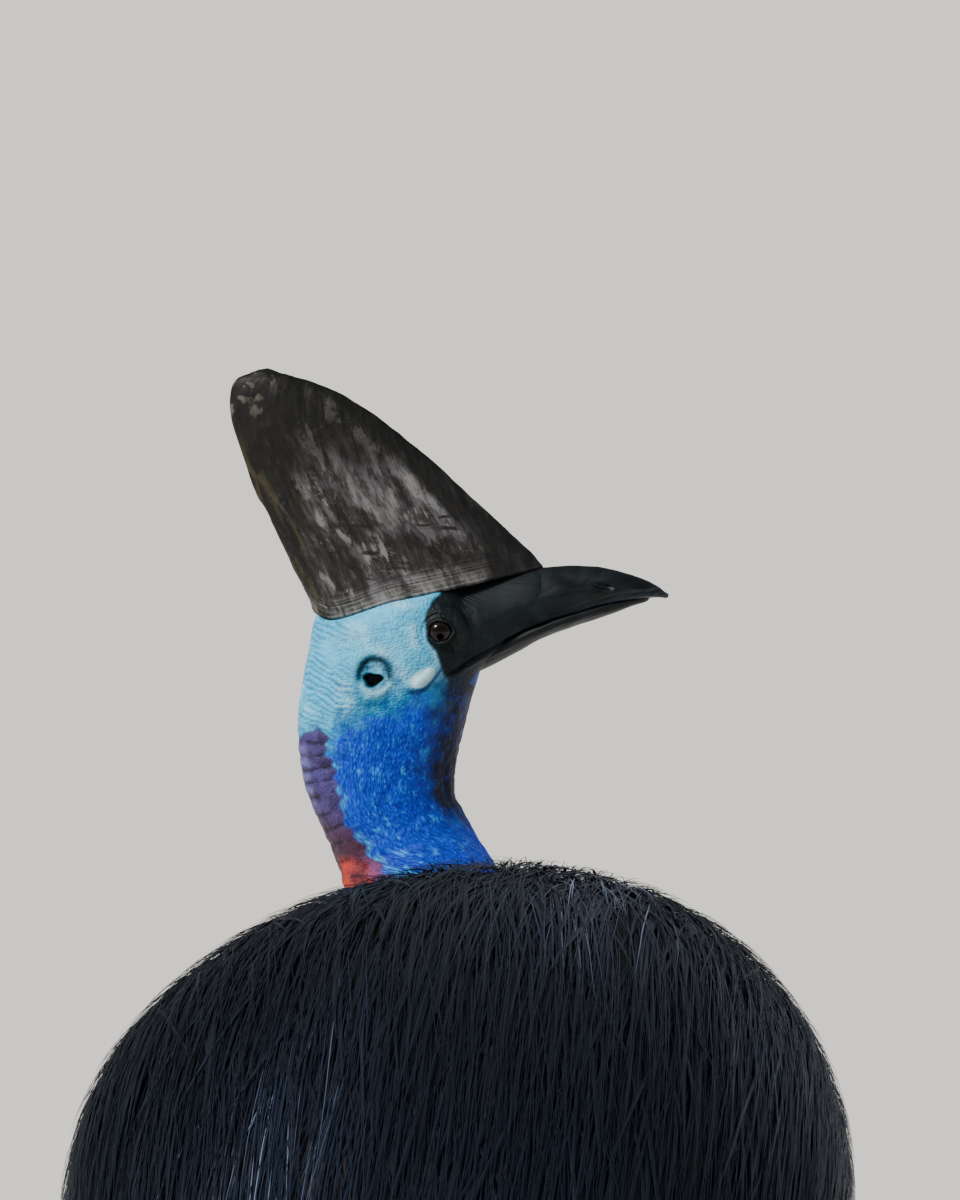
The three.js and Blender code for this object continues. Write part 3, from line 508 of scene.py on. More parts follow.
@dataclass
class Recipe:
    """A material that is being put together from nodes."""

    name: str

    def __post_init__(self) -> None:
        """Starts the material with a Principled shader."""
        self.material = bpy.data.materials.new(self.name)
        self.material.use_nodes = True
        self.shader = self.material.node_tree.nodes["Principled BSDF"]

    def give(self, socket: Socket, value: object) -> None:
        """Links or sets an input; a hex value is a colour, and None leaves the input as it is."""
        if isinstance(value, Socket):
            self.material.node_tree.links.new(value, socket)
        elif value is not None:
            socket.default_value = linear(value) if isinstance(value, str) else value

    def add(
        self, kind: str, *values: object, out: int | str = 0, stops: tuple = (), **settings: object
    ) -> Socket:
        """Adds a node with its settings and links.

        Args:
            kind: the node's type without its common first part.
            *values: what goes to the inputs in use, in their order.
            out: the output that is asked for, by its place among those in use or by name.
            stops: the (place, sRGB hex) of each stop of a colour ramp.
            **settings: the node's properties, and with a capital, as in Scale, inputs by name.

        Returns:
            The output.
        """
        node = self.material.node_tree.nodes.new("ShaderNode" + kind)
        named = {key: value for key, value in settings.items() if key[0].isupper()}
        for key, value in settings.items():
            if key not in named:
                setattr(node, key, value)
        if stops:
            elements = node.color_ramp.elements
            while len(elements) < len(stops):
                elements.new(0.5)
            for element, (place, code) in zip(elements, stops):
                element.position, element.color = place, linear(code)
        for socket, value in zip([socket for socket in node.inputs if socket.enabled], values):
            self.give(socket, value)
        for key, value in named.items():
            self.give(node.inputs[key], value)
        if isinstance(out, str):
            return node.outputs[out]
        return [socket for socket in node.outputs if socket.enabled][out]

    def finish(self, **sockets: object) -> Material:
        """Sets or links the shader's inputs, underscores standing for blanks, and returns the material."""
        for key, value in sockets.items():
            self.give(self.shader.inputs[key.replace("_", " ")], value)
        return self.material


@dataclass(frozen=True)
class BareSkin:
    """Bare, finely pebbled skin: the colours of head and neck, broken up by papillae and creases, with
    painted shade in the gaps between papillae and painted cyan glints on some of their tips.
    """

    papilla: float = 1.1 * MM
    roughness: tuple[float, float] = (0.4, 0.64)

    def make(self) -> Material:
        """Makes the material. It reads the colour and the lie that the skin's points carry."""
        r = Recipe("bare_skin_pebbled")
        colour = r.add("Attribute", attribute_name="marking")
        lie = r.add("Attribute", attribute_name="lie", out="Vector")
        grain_glint_and_shade, polish = (r.add("Attribute", attribute_name=name, out="Fac") for name in ("grain_glint_and_shade", "polish"))
        plain = r.add("Math", 1.0, polish, operation="SUBTRACT")
        drawn = r.add("Mapping", lie, Scale=(1.0, 1.0, 0.36))
        drops = r.add("TexVoronoi", drawn, 1 / self.papilla)
        beads = r.add("TexVoronoi", lie, 1 / (1.15 * self.papilla))
        near = r.add("Mix", grain_glint_and_shade, beads, drops)
        # gap: where painted shade darkens the gaps between papillae
        gap = r.add("MapRange", near, 0.34, 0.8, 0.0, 1.0)
        # tip: the tops of the papillae, where a painted glint can lie
        tip = r.add("MapRange", near, 0.0, 0.34, 1.0, 0.0)
        chance = r.add("SeparateColor", drops.node.outputs["Color"])
        chosen = r.add("MapRange", chance, 0.5, 1.0, 0.0, 1.0)
        glint = r.add("Math", r.add("Math", tip, chosen, **TIMES), grain_glint_and_shade, **TIMES)
        # depth: how dark the painted shade in the gaps is
        depth = r.add("MapRange", grain_glint_and_shade, 0.0, 1.0, 0.24, 0.8)
        shade = r.add("Math", r.add("Math", gap, depth, **TIMES), plain, **TIMES)
        # painted shade: the gaps between papillae darkened towards blue
        dark = r.add("Mix", shade, colour, "#3a78c0", **SHADE)
        # painted highlight: cyan glints on the chosen papilla tips
        with_painted_glint = r.add("Mix", glint, dark, "#3aa2ff", **OVER)
        broad = r.add("TexNoise", lie, 1 / (8 * MM), 4.0, 0.6)
        tone_of = r.add("MapRange", broad, 0.3, 0.7, 0.8, 1.18)
        shaded = r.add("VectorMath", with_painted_glint, tone_of, operation="SCALE")
        fine = r.add("TexNoise", drawn, 1 / (0.8 * MM), 3.0, 0.6)
        sunk = r.add("Math", r.add("Math", near, plain, **TIMES), -1.0, **TIMES)
        under = r.add("Bump", Height=sunk, Distance=1.0 * MM, Strength=0.65)
        return r.finish(
            Base_Color=shaded,
            Roughness=r.add("MapRange", fine, 0.3, 0.7, *self.roughness),
            Normal=r.add("Bump", Height=fine, Distance=0.3 * MM, Strength=0.45, Normal=under),
            IOR=1.42,
            Specular_IOR_Level=0.3,
            Subsurface_Weight=0.05,
            Subsurface_Scale=0.003,
            Subsurface_Radius=(0.4, 0.6, 1.0),
        )


@dataclass(frozen=True)
class Plumage:
    """Black hair-like feathers with a blue-grey gloss along each strand, and a blue-grey sheen painted into
    the colour of the strands that their tone lifts.
    """

    # the stops from 0.82 up are a painted blue-grey sheen
    stops: tuple[tuple[float, str], ...] = (
        (0.0, "#07090d"), (0.55, "#0c111a"), (0.82, "#1e2739"), (1.0, "#7c8aa8"),
    )

    def make(self) -> Material:
        """Makes the material. It reads each strand's own tone and the place along it."""
        r = Recipe("feather_black_glossy")
        strand, along = (r.add("Attribute", attribute_name=name, out="Fac") for name in ("strand", "along"))
        tip = r.add("MapRange", along, 0.55, 1.0, 0.0, 0.4)
        return r.finish(
            Base_Color=r.add("Mix", tip, r.add("ValToRGB", strand, stops=self.stops), "#131722", **OVER),
            Roughness=r.add("MapRange", strand, 0.0, 1.0, 0.5, 0.36),
            IOR=1.5,
            Specular_IOR_Level=0.5,
            Specular_Tint="#9db2de",
        )


@dataclass(frozen=True)
class UnderCoat:
    """The dark down and skin that show only in the gaps between feathers; their near-black colour also stands
    in for the shade deep in the coat.
    """

    def make(self) -> Material:
        """Makes the material, with the mottling of down."""
        r = Recipe("down_dark")
        fluff = r.add("TexNoise", r.add("TexCoord", out="Object"), 1 / (6 * MM), 4.0)
        return r.finish(
            Base_Color=r.add("ValToRGB", fluff, stops=((0.3, "#050608"), (0.75, "#14161b"))),
            Roughness=0.85,
            Normal=r.add("Bump", Height=fluff, Distance=2 * MM, Strength=0.7),
        )


@dataclass(frozen=True)
class CasqueHorn:
    """Keratin over spongy bone: worn, streaked along its rear edge, cracked, with growth lines at the rim."""

    def make(self) -> Material:
        """Makes the material. It reads the blade's colours and its map, in metres along and across it."""
        r = Recipe("casque_horn_worn")
        blade = r.add("UVMap", uv_map="Blade")
        rim, wear = (r.add("Attribute", attribute_name=name, out="Fac") for name in ("rim", "wear"))
        streak = r.add("TexNoise", r.add("Mapping", blade, Scale=(1.0, 0.2, 1.0)), 1 / (3.2 * MM), 6.0, 0.66)
        scuff = r.add("TexNoise", r.add("Mapping", blade, Scale=(1.0, 0.4, 1.0)), 1 / (8 * MM), 6.0, 0.64)
        vein = r.add("TexNoise", blade, 1 / (11 * MM), 5.0, 0.6)
        some = r.add("TexNoise", blade, 1 / (26 * MM), 2.0)
        level_way = r.add("Mapping", blade, Rotation=(0.0, 0.0, -0.25), Scale=(0.2, 1.0, 1.0))
        split = r.add("TexNoise", level_way, 1 / (5 * MM), 3.0)
        bands = r.add("TexNoise", r.add("CombineXYZ", rim), 1 / (1.3 * MM), 2.0)
        here_and_there = r.add("MapRange", some, 0.42, 0.56, 0.2, 1.0)
        pale = r.add("Math", r.add("MapRange", scuff, 0.55, 0.6, 0.0, 0.75), here_and_there, **TIMES)
        off = r.add("Math", r.add("Math", vein, 0.5, operation="SUBTRACT"), operation="ABSOLUTE")
        line = r.add("MapRange", off, 0.002, 0.012, 0.5, 0.0)
        line = r.add("Math", line, r.add("MapRange", some, 0.5, 0.62, 0.0, 1.0), **TIMES)
        line = r.add("Math", line, wear, **TIMES)
        band = ((0.012, BLACK), (0.02, WHITE), (0.045, WHITE), (0.06, BLACK))
        low_down = r.add("ValToRGB", rim, stops=band)
        crack = r.add("Math", r.add("MapRange", split, 0.36, 0.4, 0.9, 0.0), low_down, **TIMES)
        near_rim = r.add("Math", r.add("MapRange", rim, 0.006, 0.016, 0.95, 0.0), wear, **TIMES)
        marks = r.add("Math", r.add("MapRange", bands, 0.45, 0.6, 0.0, 1.0), near_rim, **TIMES)
        broken = r.add("MapRange", scuff, 0.42, 0.6, 0.1, 1.0)
        ramp = r.add("ValToRGB", streak, stops=((0.38, "#4e4b45"), (0.48, "#c2c0ba"), (0.6, WHITE)))
        colour = r.add("Mix", 0.85, r.add("Attribute", attribute_name="marking"), ramp, **SHADE)
        for share, code in (
            (r.add("Math", pale, wear, **TIMES), "#7c7c79"),
            (r.add("MapRange", scuff, 0.4, 0.45, 0.75, 0.0), "#161412"),
            (line, "#79766a"),
            (r.add("Math", crack, wear, **TIMES), "#100f0e"),
            (r.add("Math", marks, broken, **TIMES), "#8f9092"),
            (r.add("Math", r.add("MapRange", bands, 0.34, 0.44, 0.8, 0.0), near_rim, **TIMES), "#141311"),
        ):
            colour = r.add("Mix", share, colour, code, **OVER)
        normal = None
        for height, depth, strength in ((streak, 0.7, 0.55), (scuff, 0.8, 0.5), (line, 0.5, 0.4)):
            normal = r.add("Bump", Height=height, Distance=depth * MM, Strength=strength, Normal=normal)
        rough = r.add("MapRange", scuff, 0.35, 0.7, 0.42, 0.68)
        return r.finish(Base_Color=colour, Roughness=rough, Normal=normal, IOR=1.5, Specular_IOR_Level=0.28)


@dataclass(frozen=True)
class BillHorn:
    """Smooth black keratin with a blue-grey sheen painted into its colour in patches, fine lines that run to
    the tip, and a cutting edge painted paler as a highlight.
    """

    def make(self) -> Material:
        """Makes the material. It reads the map of the bill, in metres along and up it."""
        r = Recipe("bill_horn_polished")
        bill = r.add("UVMap", uv_map="Bill")
        edge, base = (r.add("Attribute", attribute_name=name, out="Fac") for name in ("edge", "base"))
        lines = r.add("TexNoise", r.add("Mapping", bill, Scale=(0.1, 1.0, 1.0)), 1 / (1.5 * MM), 5.0)
        # painted blue-grey sheen in patches, the same noise also setting the gloss
        sheen_and_gloss = r.add("TexNoise", bill, 1 / (15 * MM), 4.0)
        colour = r.add("ValToRGB", sheen_and_gloss, stops=((0.36, "#04090b"), (0.55, "#081217"), (0.75, "#14222c")))
        lined = r.add("ValToRGB", lines, stops=((0.35, "#808080"), (0.65, WHITE)))
        colour = r.add("Mix", 0.6, colour, lined, **SHADE)
        # painted highlight: a paler grey line along the cutting edge
        worn = r.add("Math", edge, r.add("MapRange", lines, 0.35, 0.6, 0.15, 0.8), **TIMES)
        colour = r.add("Mix", worn, colour, "#3d4552", **OVER)
        colour = r.add("Mix", r.add("MapRange", base, 0.0, 1.0, 0.0, 0.85), colour, "#081317", **OVER)
        smooth_part = r.add("MapRange", sheen_and_gloss, 0.3, 0.7, 0.32, 0.48)
        rough = r.add("Math", smooth_part, r.add("MapRange", base, 0.0, 1.0, 0.0, 0.5), operation="MAXIMUM")
        normal = r.add("Bump", Height=lines, Distance=0.25 * MM, Strength=0.4)
        return r.finish(Base_Color=colour, Roughness=rough, Normal=normal, IOR=1.5, Specular_IOR_Level=0.28)


@dataclass(frozen=True)
class WetEye:
    """The wet eye: black pupil, dark iris with a thin brown edge, under a clear wet coat."""

    iris: str = "#090504"
    iris_edge: str = "#1b100b"

    def make(self) -> Material:
        """Makes the material. It reads the map of the eye's front, 1 at the edge of the iris."""
        r = Recipe("eye_wet")
        disc = r.add("UVMap", uv_map="Iris")
        out = r.add("VectorMath", disc, operation="LENGTH")
        fibres = r.add("TexNoise", disc, 7.0, 4.0, 0.7)
        rays = r.add("ValToRGB", fibres, stops=((0.3, "#6a5a50"), (0.7, WHITE)))
        rim = r.add("ValToRGB", out, stops=((0.68, BLACK), (0.82, WHITE), (0.92, WHITE), (1.0, BLACK)))
        colour = r.add("Mix", rim, r.add("Mix", 0.75, self.iris, rays, **SHADE), self.iris_edge, **OVER)
        colour = r.add("Mix", r.add("MapRange", out, 0.94, 1.04, 0.0, 1.0), colour, "#060303", **OVER)
        colour = r.add("Mix", r.add("MapRange", out, 0.46, 0.5, 0.0, 1.0), "#020202", colour, **OVER)
        return r.finish(
            Base_Color=colour,
            Roughness=0.3,
            Specular_IOR_Level=0.1,
            IOR=1.38,
            Coat_Weight=0.45,
            Coat_Roughness=0.03,
        )


@dataclass(frozen=True)
class LegScale:
    """Grey-brown horny plates and small scales, dusty in their gaps."""

    def make(self) -> Material:
        """Makes the material. It reads the leg's own map and how high each point stands on its plate."""
        r = Recipe("leg_scale_horny")
        leg = r.add("UVMap", uv_map="Leg")
        plate = r.add("Attribute", attribute_name="plate", out="Fac")
        cells = r.add("TexVoronoi", leg, 1 / (6.5 * MM), feature="DISTANCE_TO_EDGE")
        wear = r.add("TexNoise", leg, 1 / (8 * MM), 5.0, 0.65)
        back = r.add("MapRange", plate, 0.0, 0.25, 1.0, 0.0)
        crack = r.add("Math", r.add("MapRange", cells, 0.02, 0.14, 1.0, 0.0), back, **TIMES)
        colour = r.add("ValToRGB", wear, stops=((0.3, "#3c3932"), (0.55, "#5d5a4e"), (0.8, "#827d6b")))
        height = r.add("Math", 1.0, crack, operation="SUBTRACT")
        plates = r.add("Bump", Height=height, Distance=0.8 * MM, Strength=0.7)
        return r.finish(
            Base_Color=r.add("Mix", crack, colour, "#26231e", **OVER),
            Roughness=r.add("MapRange", wear, 0.3, 0.7, 0.48, 0.7),
            Normal=r.add("Bump", Height=wear, Distance=0.4 * MM, Strength=0.4, Normal=plates),
            IOR=1.5,
        )


@dataclass(frozen=True)
class DarkKeratin:
    """Dark keratin with fine lines along it, worn paler at the tip, for claws and quills."""

    name: str
    dark: str
    worn: str
    roughness: tuple[float, float]
    gloss: float = 0.5

    def make(self) -> Material:
        """Makes the material. It reads the place along each claw or quill."""
        r = Recipe(self.name)
        lines = r.add("TexNoise", r.add("TexCoord", out="Object"), 1 / (2.2 * MM), 4.0)
        wear = r.add("MapRange", r.add("Attribute", attribute_name="along", out="Fac"), 0.55, 1.0, 0.0, 0.7)
        return r.finish(
            Base_Color=r.add("Mix", r.add("Math", wear, lines, **TIMES), self.dark, self.worn, **OVER),
            Roughness=r.add("MapRange", lines, 0.3, 0.7, *self.roughness),
            Normal=r.add("Bump", Height=lines, Distance=0.25 * MM, Strength=0.35),
            IOR=1.55,
            Specular_IOR_Level=self.gloss,
        )


CLAW_HORN = DarkKeratin("claw_horn_worn", "#1d1915", "#6b6254", (0.32, 0.5))
QUILL_HORN = DarkKeratin("quill_horn_bare", "#030303", "#070707", (0.6, 0.75), 0.2)


def dress(piece: Piece, finish: Material, nodes: tuple[str, ...] = ()) -> None:
    """Gives a finished piece its material, body and slot, and hides the CAD nodes that it replaces."""
    piece.data.materials.clear()
    piece.data.materials.append(finish)
    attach(piece, "root")
    if nodes:
        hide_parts(*nodes)
    LOG.info("%s: %d faces", piece.name, len(piece.data.polygons))


# The body's shape


def bent_path(points: Array, share: Array) -> Array:
    """Points of a smooth path whose speed follows the distance between its points.

    Args:
        points: the points that it passes through.
        share: places from 0 at the first point to 1 at the last.

    Returns:
        One point per place.
    """
    points = np.asarray(points, float)
    last = len(points) - 1
    padded = np.vstack([2 * points[0] - points[1], points, 2 * points[-1] - points[-2]])
    at = np.atleast_1d(np.asarray(share, float)) * last
    i = np.clip(np.floor(at).astype(int), 0, last - 1)
    f = (at - i)[:, None]
    a, b, c, d = (padded[i + k] for k in range(4))
    before, here, after = (np.sqrt(np.linalg.norm(gap, axis=1))[:, None] for gap in (b - a, c - b, d - c))
    leave = ((b - a) / before - (c - a) / (before + here) + (c - b) / here) * here
    reach = ((c - b) / here - (d - b) / (here + after) + (d - c) / after) * here
    f2, f3 = f * f, f * f * f
    return (2 * f3 - 3 * f2 + 1) * b + (f3 - 2 * f2 + f) * leave + (3 * f2 - 2 * f3) * c + (f3 - f2) * reach


def path_frame(points: Array, share: Array, aside: Array) -> tuple[Array, Array, Array, Array]:
    """Centres, tangents, and the across and upward ways of a path's sections."""
    centre = bent_path(points, share)
    ahead = bent_path(points, np.clip(np.asarray(share) + 1e-3, 0, 1))
    behind = bent_path(points, np.clip(np.asarray(share) - 1e-3, 0, 1))
    tangent = unit(ahead - behind)
    upward = unit(np.cross(tangent, aside))
    return centre, tangent, unit(np.cross(upward, tangent)), upward


@dataclass(frozen=True)
class TorsoShape:
    """The body's egg, to the tips of its coat, and the way the coat lies on it."""

    middle: float = 45
    half_length: float = 450
    half_width: float = 214
    top_rise: float = 174
    bottom_drop: float = 300
    axis: float = 794
    rump_droop: float = 150
    breast_droop: float = 42
    breast_narrowing: float = 0.16
    crest_aside: float = -16
    coat_depth: float = 56
    lie_pole: tuple[float, float, float] = (0, 0.8, -0.6)

    @property
    def core_depth(self) -> float:
        """How deep the solid core lies, half way into the coat."""
        return self.coat_depth / 2

    def axis_height(self, y: Array) -> Array:
        """The height of the body's axis."""
        return self.axis - self.rump_droop * smooth(y, 90, 560) - self.breast_droop * smooth(-y, 50, 420)

    def point(self, q: Array, depth: Array | float) -> Array:
        """The body's points in directions q of a unit sphere, at a depth below the tips."""
        y = self.middle + (self.half_length - depth) * q[:, 1]
        narrowing = 1 - self.breast_narrowing * smooth(-y, -50, 350)
        rise = np.where(q[:, 2] > 0, self.top_rise, self.bottom_drop)
        x = (self.half_width * narrowing - depth) * q[:, 0] + self.crest_aside * np.clip(q[:, 2], 0, 1) ** 2
        return np.stack([x, y, self.axis_height(y) + (rise - depth) * q[:, 2]], axis=1)

    def direction(self, polar: Array, around: Array) -> Array:
        """Directions at an angle from the foot of the neck and an angle round the lie, 0 being the back."""
        pole = unit(np.array(self.lie_pole, float))
        across = ACROSS
        upward = unit(np.cross(pole, across))
        ring = np.sin(polar)[:, None] * (np.sin(around)[:, None] * across + np.cos(around)[:, None] * upward)
        return ring - np.cos(polar)[:, None] * pole

    def outward(self, p: Array) -> Array:
        """The way off the coat, nearly level below the widest line."""
        high = p[..., 2] - self.axis_height(p[..., 1])
        level = (p[..., 1] - self.middle) * 0.35
        return unit(np.stack([p[..., 0], level, np.where(high > 0, high, 0.3 * high)], axis=-1))

    def crowding(self, q: Array) -> Array:
        """How much skin a step on the unit sphere covers, by direction."""
        rise = np.where(q[:, 2] > 0, self.top_rise, self.bottom_drop)
        axes = np.stack([np.full(len(q), self.half_width), np.full(len(q), self.half_length), rise], axis=1)
        return np.prod(axes, axis=1) * np.linalg.norm(q / axes, axis=1)


TORSO = TorsoShape()


@dataclass(frozen=True)
class LegShape:
    """One leg from the flank to the sole."""

    side: Side
    foot_out: float = 104
    foot_back: dict[Side, float] = field(default_factory=lambda: {Side.LEFT: 56, Side.RIGHT: 106})
    hock_height: float = 338
    thigh_widths: tuple[float, ...] = (30, 70, 60, 43, 35)
    thigh_depths: tuple[float, ...] = (40, 98, 78, 50, 40)
    shank_widths: tuple[float, ...] = (30, 28, 31, 22.5, 24, 22)
    shank_depths: tuple[float, ...] = (34, 31, 36, 24.5, 26, 23)

    @property
    def back(self) -> float:
        """How far back this foot stands."""
        return self.foot_back[self.side]

    def station(self, name: str) -> tuple[float, float, float]:
        """A named point of the leg's axis."""
        s, back, hock = self.side.value, self.back, self.hock_height
        return {
            "flank": (s * 92, -40, 735),
            "knee": (s * 106, -38, 630),
            "mid_tibia": (s * 110, mix(-70, back + 70, 0.55), mix(610, hock, 0.55)),
            "shank_top": (s * 107, mix(-70, back + 70, 0.82), mix(610, hock, 0.82)),
            "hock": (s * self.foot_out, back + 72, hock),
            "mid_tarsus": (s * self.foot_out, back + 40, 190),
            "ankle": (s * self.foot_out, back + 4, 46),
            "sole": (s * self.foot_out, back - 4, 12),
        }[name]

    def path(self, *names: str) -> Array:
        """Named points of the leg's axis, in a row."""
        return np.array([self.station(name) for name in names])

    def thigh_path(self) -> Array:
        """The axis of the feathered thigh."""
        return self.path("flank", "knee", "mid_tibia", "shank_top", "hock")

    def shank_path(self) -> Array:
        """The axis of the bare leg down into the foot."""
        return self.path("mid_tibia", "shank_top", "hock", "mid_tarsus", "ankle", "sole")

    def thigh_point(self, share: Array, angle: Array, off: Array | float) -> Array:
        """Points of the thigh's surface, moved outwards by off."""
        centre, _, across, upward = path_frame(self.thigh_path(), share, ACROSS)
        width = through(np.array(self.thigh_widths), np.asarray(share) * 4) + off
        depth = through(np.array(self.thigh_depths), np.asarray(share) * 4) + off
        return oval(centre, angle, width, across, depth, upward)


# Skin


def along_head(rows: Rows, share: Array, angle: Array, reach: float, shape: Bend) -> Array:
    """Points of a form along the head.

    Args:
        rows: (forward, bottom, top, half width) at even shares of its length.
        share: places along it.
        angle: places round it, 0 being the top.
        reach: share of the length that each round end takes.
        shape: bends the section's sine and cosine.

    Returns:
        Points in the bird's frame.
    """
    forward, low, high, half = through(np.array(rows), share * (len(rows) - 1)).T
    s, c = shape(np.sin(angle), np.cos(angle))
    fade = rounded_ends(share, reach)
    return head_to_bird(forward, s * half * fade, (low + high) / 2 + c * (high - low) / 2 * fade)


@dataclass
class Paint:
    """Colours laid one over another on points."""

    colour: Array

    def lay(self, code: str, share: Array) -> None:
        """Lays a colour over a share of each point."""
        self.colour = mix(self.colour, tone(code), np.clip(share, 0, 1)[:, None])


def narrowing(slope: float, flat: float, way: int = 1) -> Bend:
    """A section that narrows by slope upwards, or downwards for way -1, from a flatter other side."""

    def shape(s: Array, c: Array) -> tuple[Array, Array]:
        there = way * c > 0
        return s * np.where(there, 1 - slope * c * way, 1), np.where(there, c, -way * np.abs(c) ** flat)

    return shape


@dataclass
class Skin:
    """One closed skin over head, neck, wattles, body and thighs, with all its folds and markings."""

    voxel: float = 0.95
    most_triangles: int = 192000
    snout_rows: Rows = (
        (-16, -36, 26, 26), (1, -34, 27, 26.5), (18, -27, 28.5, 22.8), (33, -15.5, 32.2, 18.4),
        (47, -3.4, 34.9, 15.8), (58, 0.6, 35.7, 14.2), (67, 6.0, 31.5, 10.2),
    )
    orbit: tuple[float, float, float] = (16, 8.8, 14.6)
    mouth_line: Rows = ((3, -24.5), (7, -22.4), (20, -14.3), (34, -7.2), (60, 4.5))
    ear: tuple[float, float] = (-37.2, -24.2)
    ear_radii: tuple[float, float] = (9.8, 11.2)
    eye_out: float = 22.5
    eye_radius: float = 9.5
    lid_radii: tuple[float, float] = (7.3, 6.7)
    lid_at: tuple[float, float] = (0.3, 0.2)  # the middle of the lids' opening, forward and up of the eye's
    fold_low: float = 880.0
    fold_high: float = 998.0
    fold_spacing: float = 8.8
    fold_height: float = 1.6
    lobe_path: Rows = ((-15.4, 26.8, -28.6), (-11.2, 28.8, -26.6), (-6.6, 28.4, -23.0), (-3.4, 26.0, -19.2))
    lobe_at: tuple[float, float] = (-9.6, -24.8)
    lobe_turn: float = math.radians(35)
    wattle_station: float = 1.9
    nape_reach: float = 1.9  # the angle from the nape at which the folded band ends at the latest
    nape_radius: float = 46.0
    papilla_radius: float = 38.0  # the radius of the even cylinder on which the papillae lie
    under_feathers: float = 1.4  # the station up to which feathers hide the skin
    crown_shoulder: float = 15.0  # how far below the casque's rim the crown starts to draw in

    def neck(self) -> Piece:
        """The neck and skull, from under the coat to the crown."""

        def place(share: Array, angle: Array) -> Array:
            u = mix(0.75, NECK.crown, share)
            r, fade = NECK.ring(u), rounded_ends(share, 0.02)
            return oval(r["centre"], angle, r["width"], r["across"], r["depth"], r["nape"], fade)

        return shaped_ball("neck_form", place, 150, 96)

    def lump(self, at: tuple[float, float, float], sizes: tuple[float, float, float]) -> Piece:
        """A soft lump on the head, at (forward, left, up)."""

        def place(share: Array, angle: Array) -> Array:
            level = np.sin(share * math.pi)
            forward = at[0] + sizes[0] * level * np.sin(angle)
            left = at[1] + sizes[1] * level * np.cos(angle)
            return head_to_bird(forward, left, at[2] - sizes[2] * np.cos(share * math.pi))

        return shaped_ball("lump", place, 20, 28)

    def wattle(self, side: Side) -> Piece:
        """A soft bulbous wattle that hangs from the throat."""
        r = NECK.ring(self.wattle_station)
        throat = -r["nape"][0]
        beside = unit(np.cross(UP, throat))
        level = unit(throat * LEVEL)
        root = r["centre"][0] + throat * (r["depth"][0] - 9) + beside * side.value * 13.5
        out = root + throat * 20
        start = root - throat * 4 + UP * 24
        drops = ((26, 1), (68, 2.5), (118, 4))
        hangs = [out + beside * side.value * away + level * 9 + DOWN * drop for drop, away in drops]
        path = np.array([start, root + throat * 9 + UP * 3, *hangs])

        def half(share: Array) -> tuple[Array, Array]:
            bulge = 1 + 0.06 * np.cos(5.3 * TURN * share + side.value) + 0.05 * np.cos(8.7 * TURN * share)
            ending = 1 - 0.62 * smooth(share, 0.84, 1)
            radius = 11 * mix(0.62, 1.05, smooth(share, 0, 0.75)) * ending * bulge
            return radius * 1.1, radius * 0.8

        piece = tube_along(f"wattle_{side.label}_form", path, half, 90, 36, 0.05, beside)
        p, n = places(piece), normals(piece)
        bumps = 1.1 * layered_noise(p, 9, 5) + 0.8 * cell_bumps(p, (5, 5, 3.2), 9) - 0.4
        put_places(piece, p + n * bumps[:, None])
        return piece

    def lobe(self, side: Side) -> Piece:
        """The pale bean behind the corner of the mouth."""
        forward, out, up = np.array(self.lobe_path).T
        bent = head_to_bird(forward, side.value * out, up)

        def half(share: Array) -> tuple[Array, Array]:
            size = mix(4.7, 3.2, share) * (1 - 0.1 * np.cos(2 * TURN * share))
            return size, size * 0.92

        return tube_along("lobe_form", bent, half, 24, 24, 0.3, UP)

    def fine_form(self) -> Piece:
        """Head and neck as one even mesh, still without folds."""

        def snout(share: Array, angle: Array) -> Array:
            return along_head(self.snout_rows, share, angle, 0.07, narrowing(0.36, 0.7))

        forms = [self.neck(), shaped_ball("snout_form", snout, 40, 64)]
        for side in Side:
            forms.append(self.lump((0.5, side.value * 21.6, 0.3 + EYE_RISE), self.orbit))
            forms.append(self.lobe(side))
        form = joined("skin", forms)
        apply(form, "REMESH", mode="VOXEL", voxel_size=self.voxel * MM, use_smooth_shade=True)
        apply(form, "SMOOTH", factor=0.5, iterations=4)
        return form

    def coarse_form(self) -> Piece:
        """The body, the foot of the neck and the thighs, which feathers hide."""

        def body(share: Array, angle: Array) -> Array:
            across, upward, along = ball_parts(share, angle)
            return TORSO.point(np.stack([across, along, upward], axis=1), TORSO.core_depth + 1.5)

        def root(share: Array, angle: Array) -> Array:
            return NECK.point(mix(-0.1, 1.1, share), angle, -0.6 - 20 * (1 - rounded_ends(share, 0.04)))

        forms = [shaped_ball("body_form", body, 48, 64), shaped_ball("neck_root_form", root, 16, 48)]
        for side in Side:
            shape = LegShape(side)

            def thigh(share: Array, angle: Array) -> Array:
                off = -3 - 28 * (1 - rounded_ends(share, 0.06))
                return shape.thigh_point(share * 0.86, angle, off)

            forms.append(shaped_ball(f"thigh_{side.label}_form", thigh, 30, 32))
            forms.append(self.wattle(side))
        return self.united(forms)

    def united(self, forms: list[Piece]) -> Piece:
        """Unites closed forms into the first of them."""
        first, *others = forms
        for other in others:
            apply(first, "BOOLEAN", operation="UNION", solver="MANIFOLD", object=other)
            bpy.data.objects.remove(other)
        return first

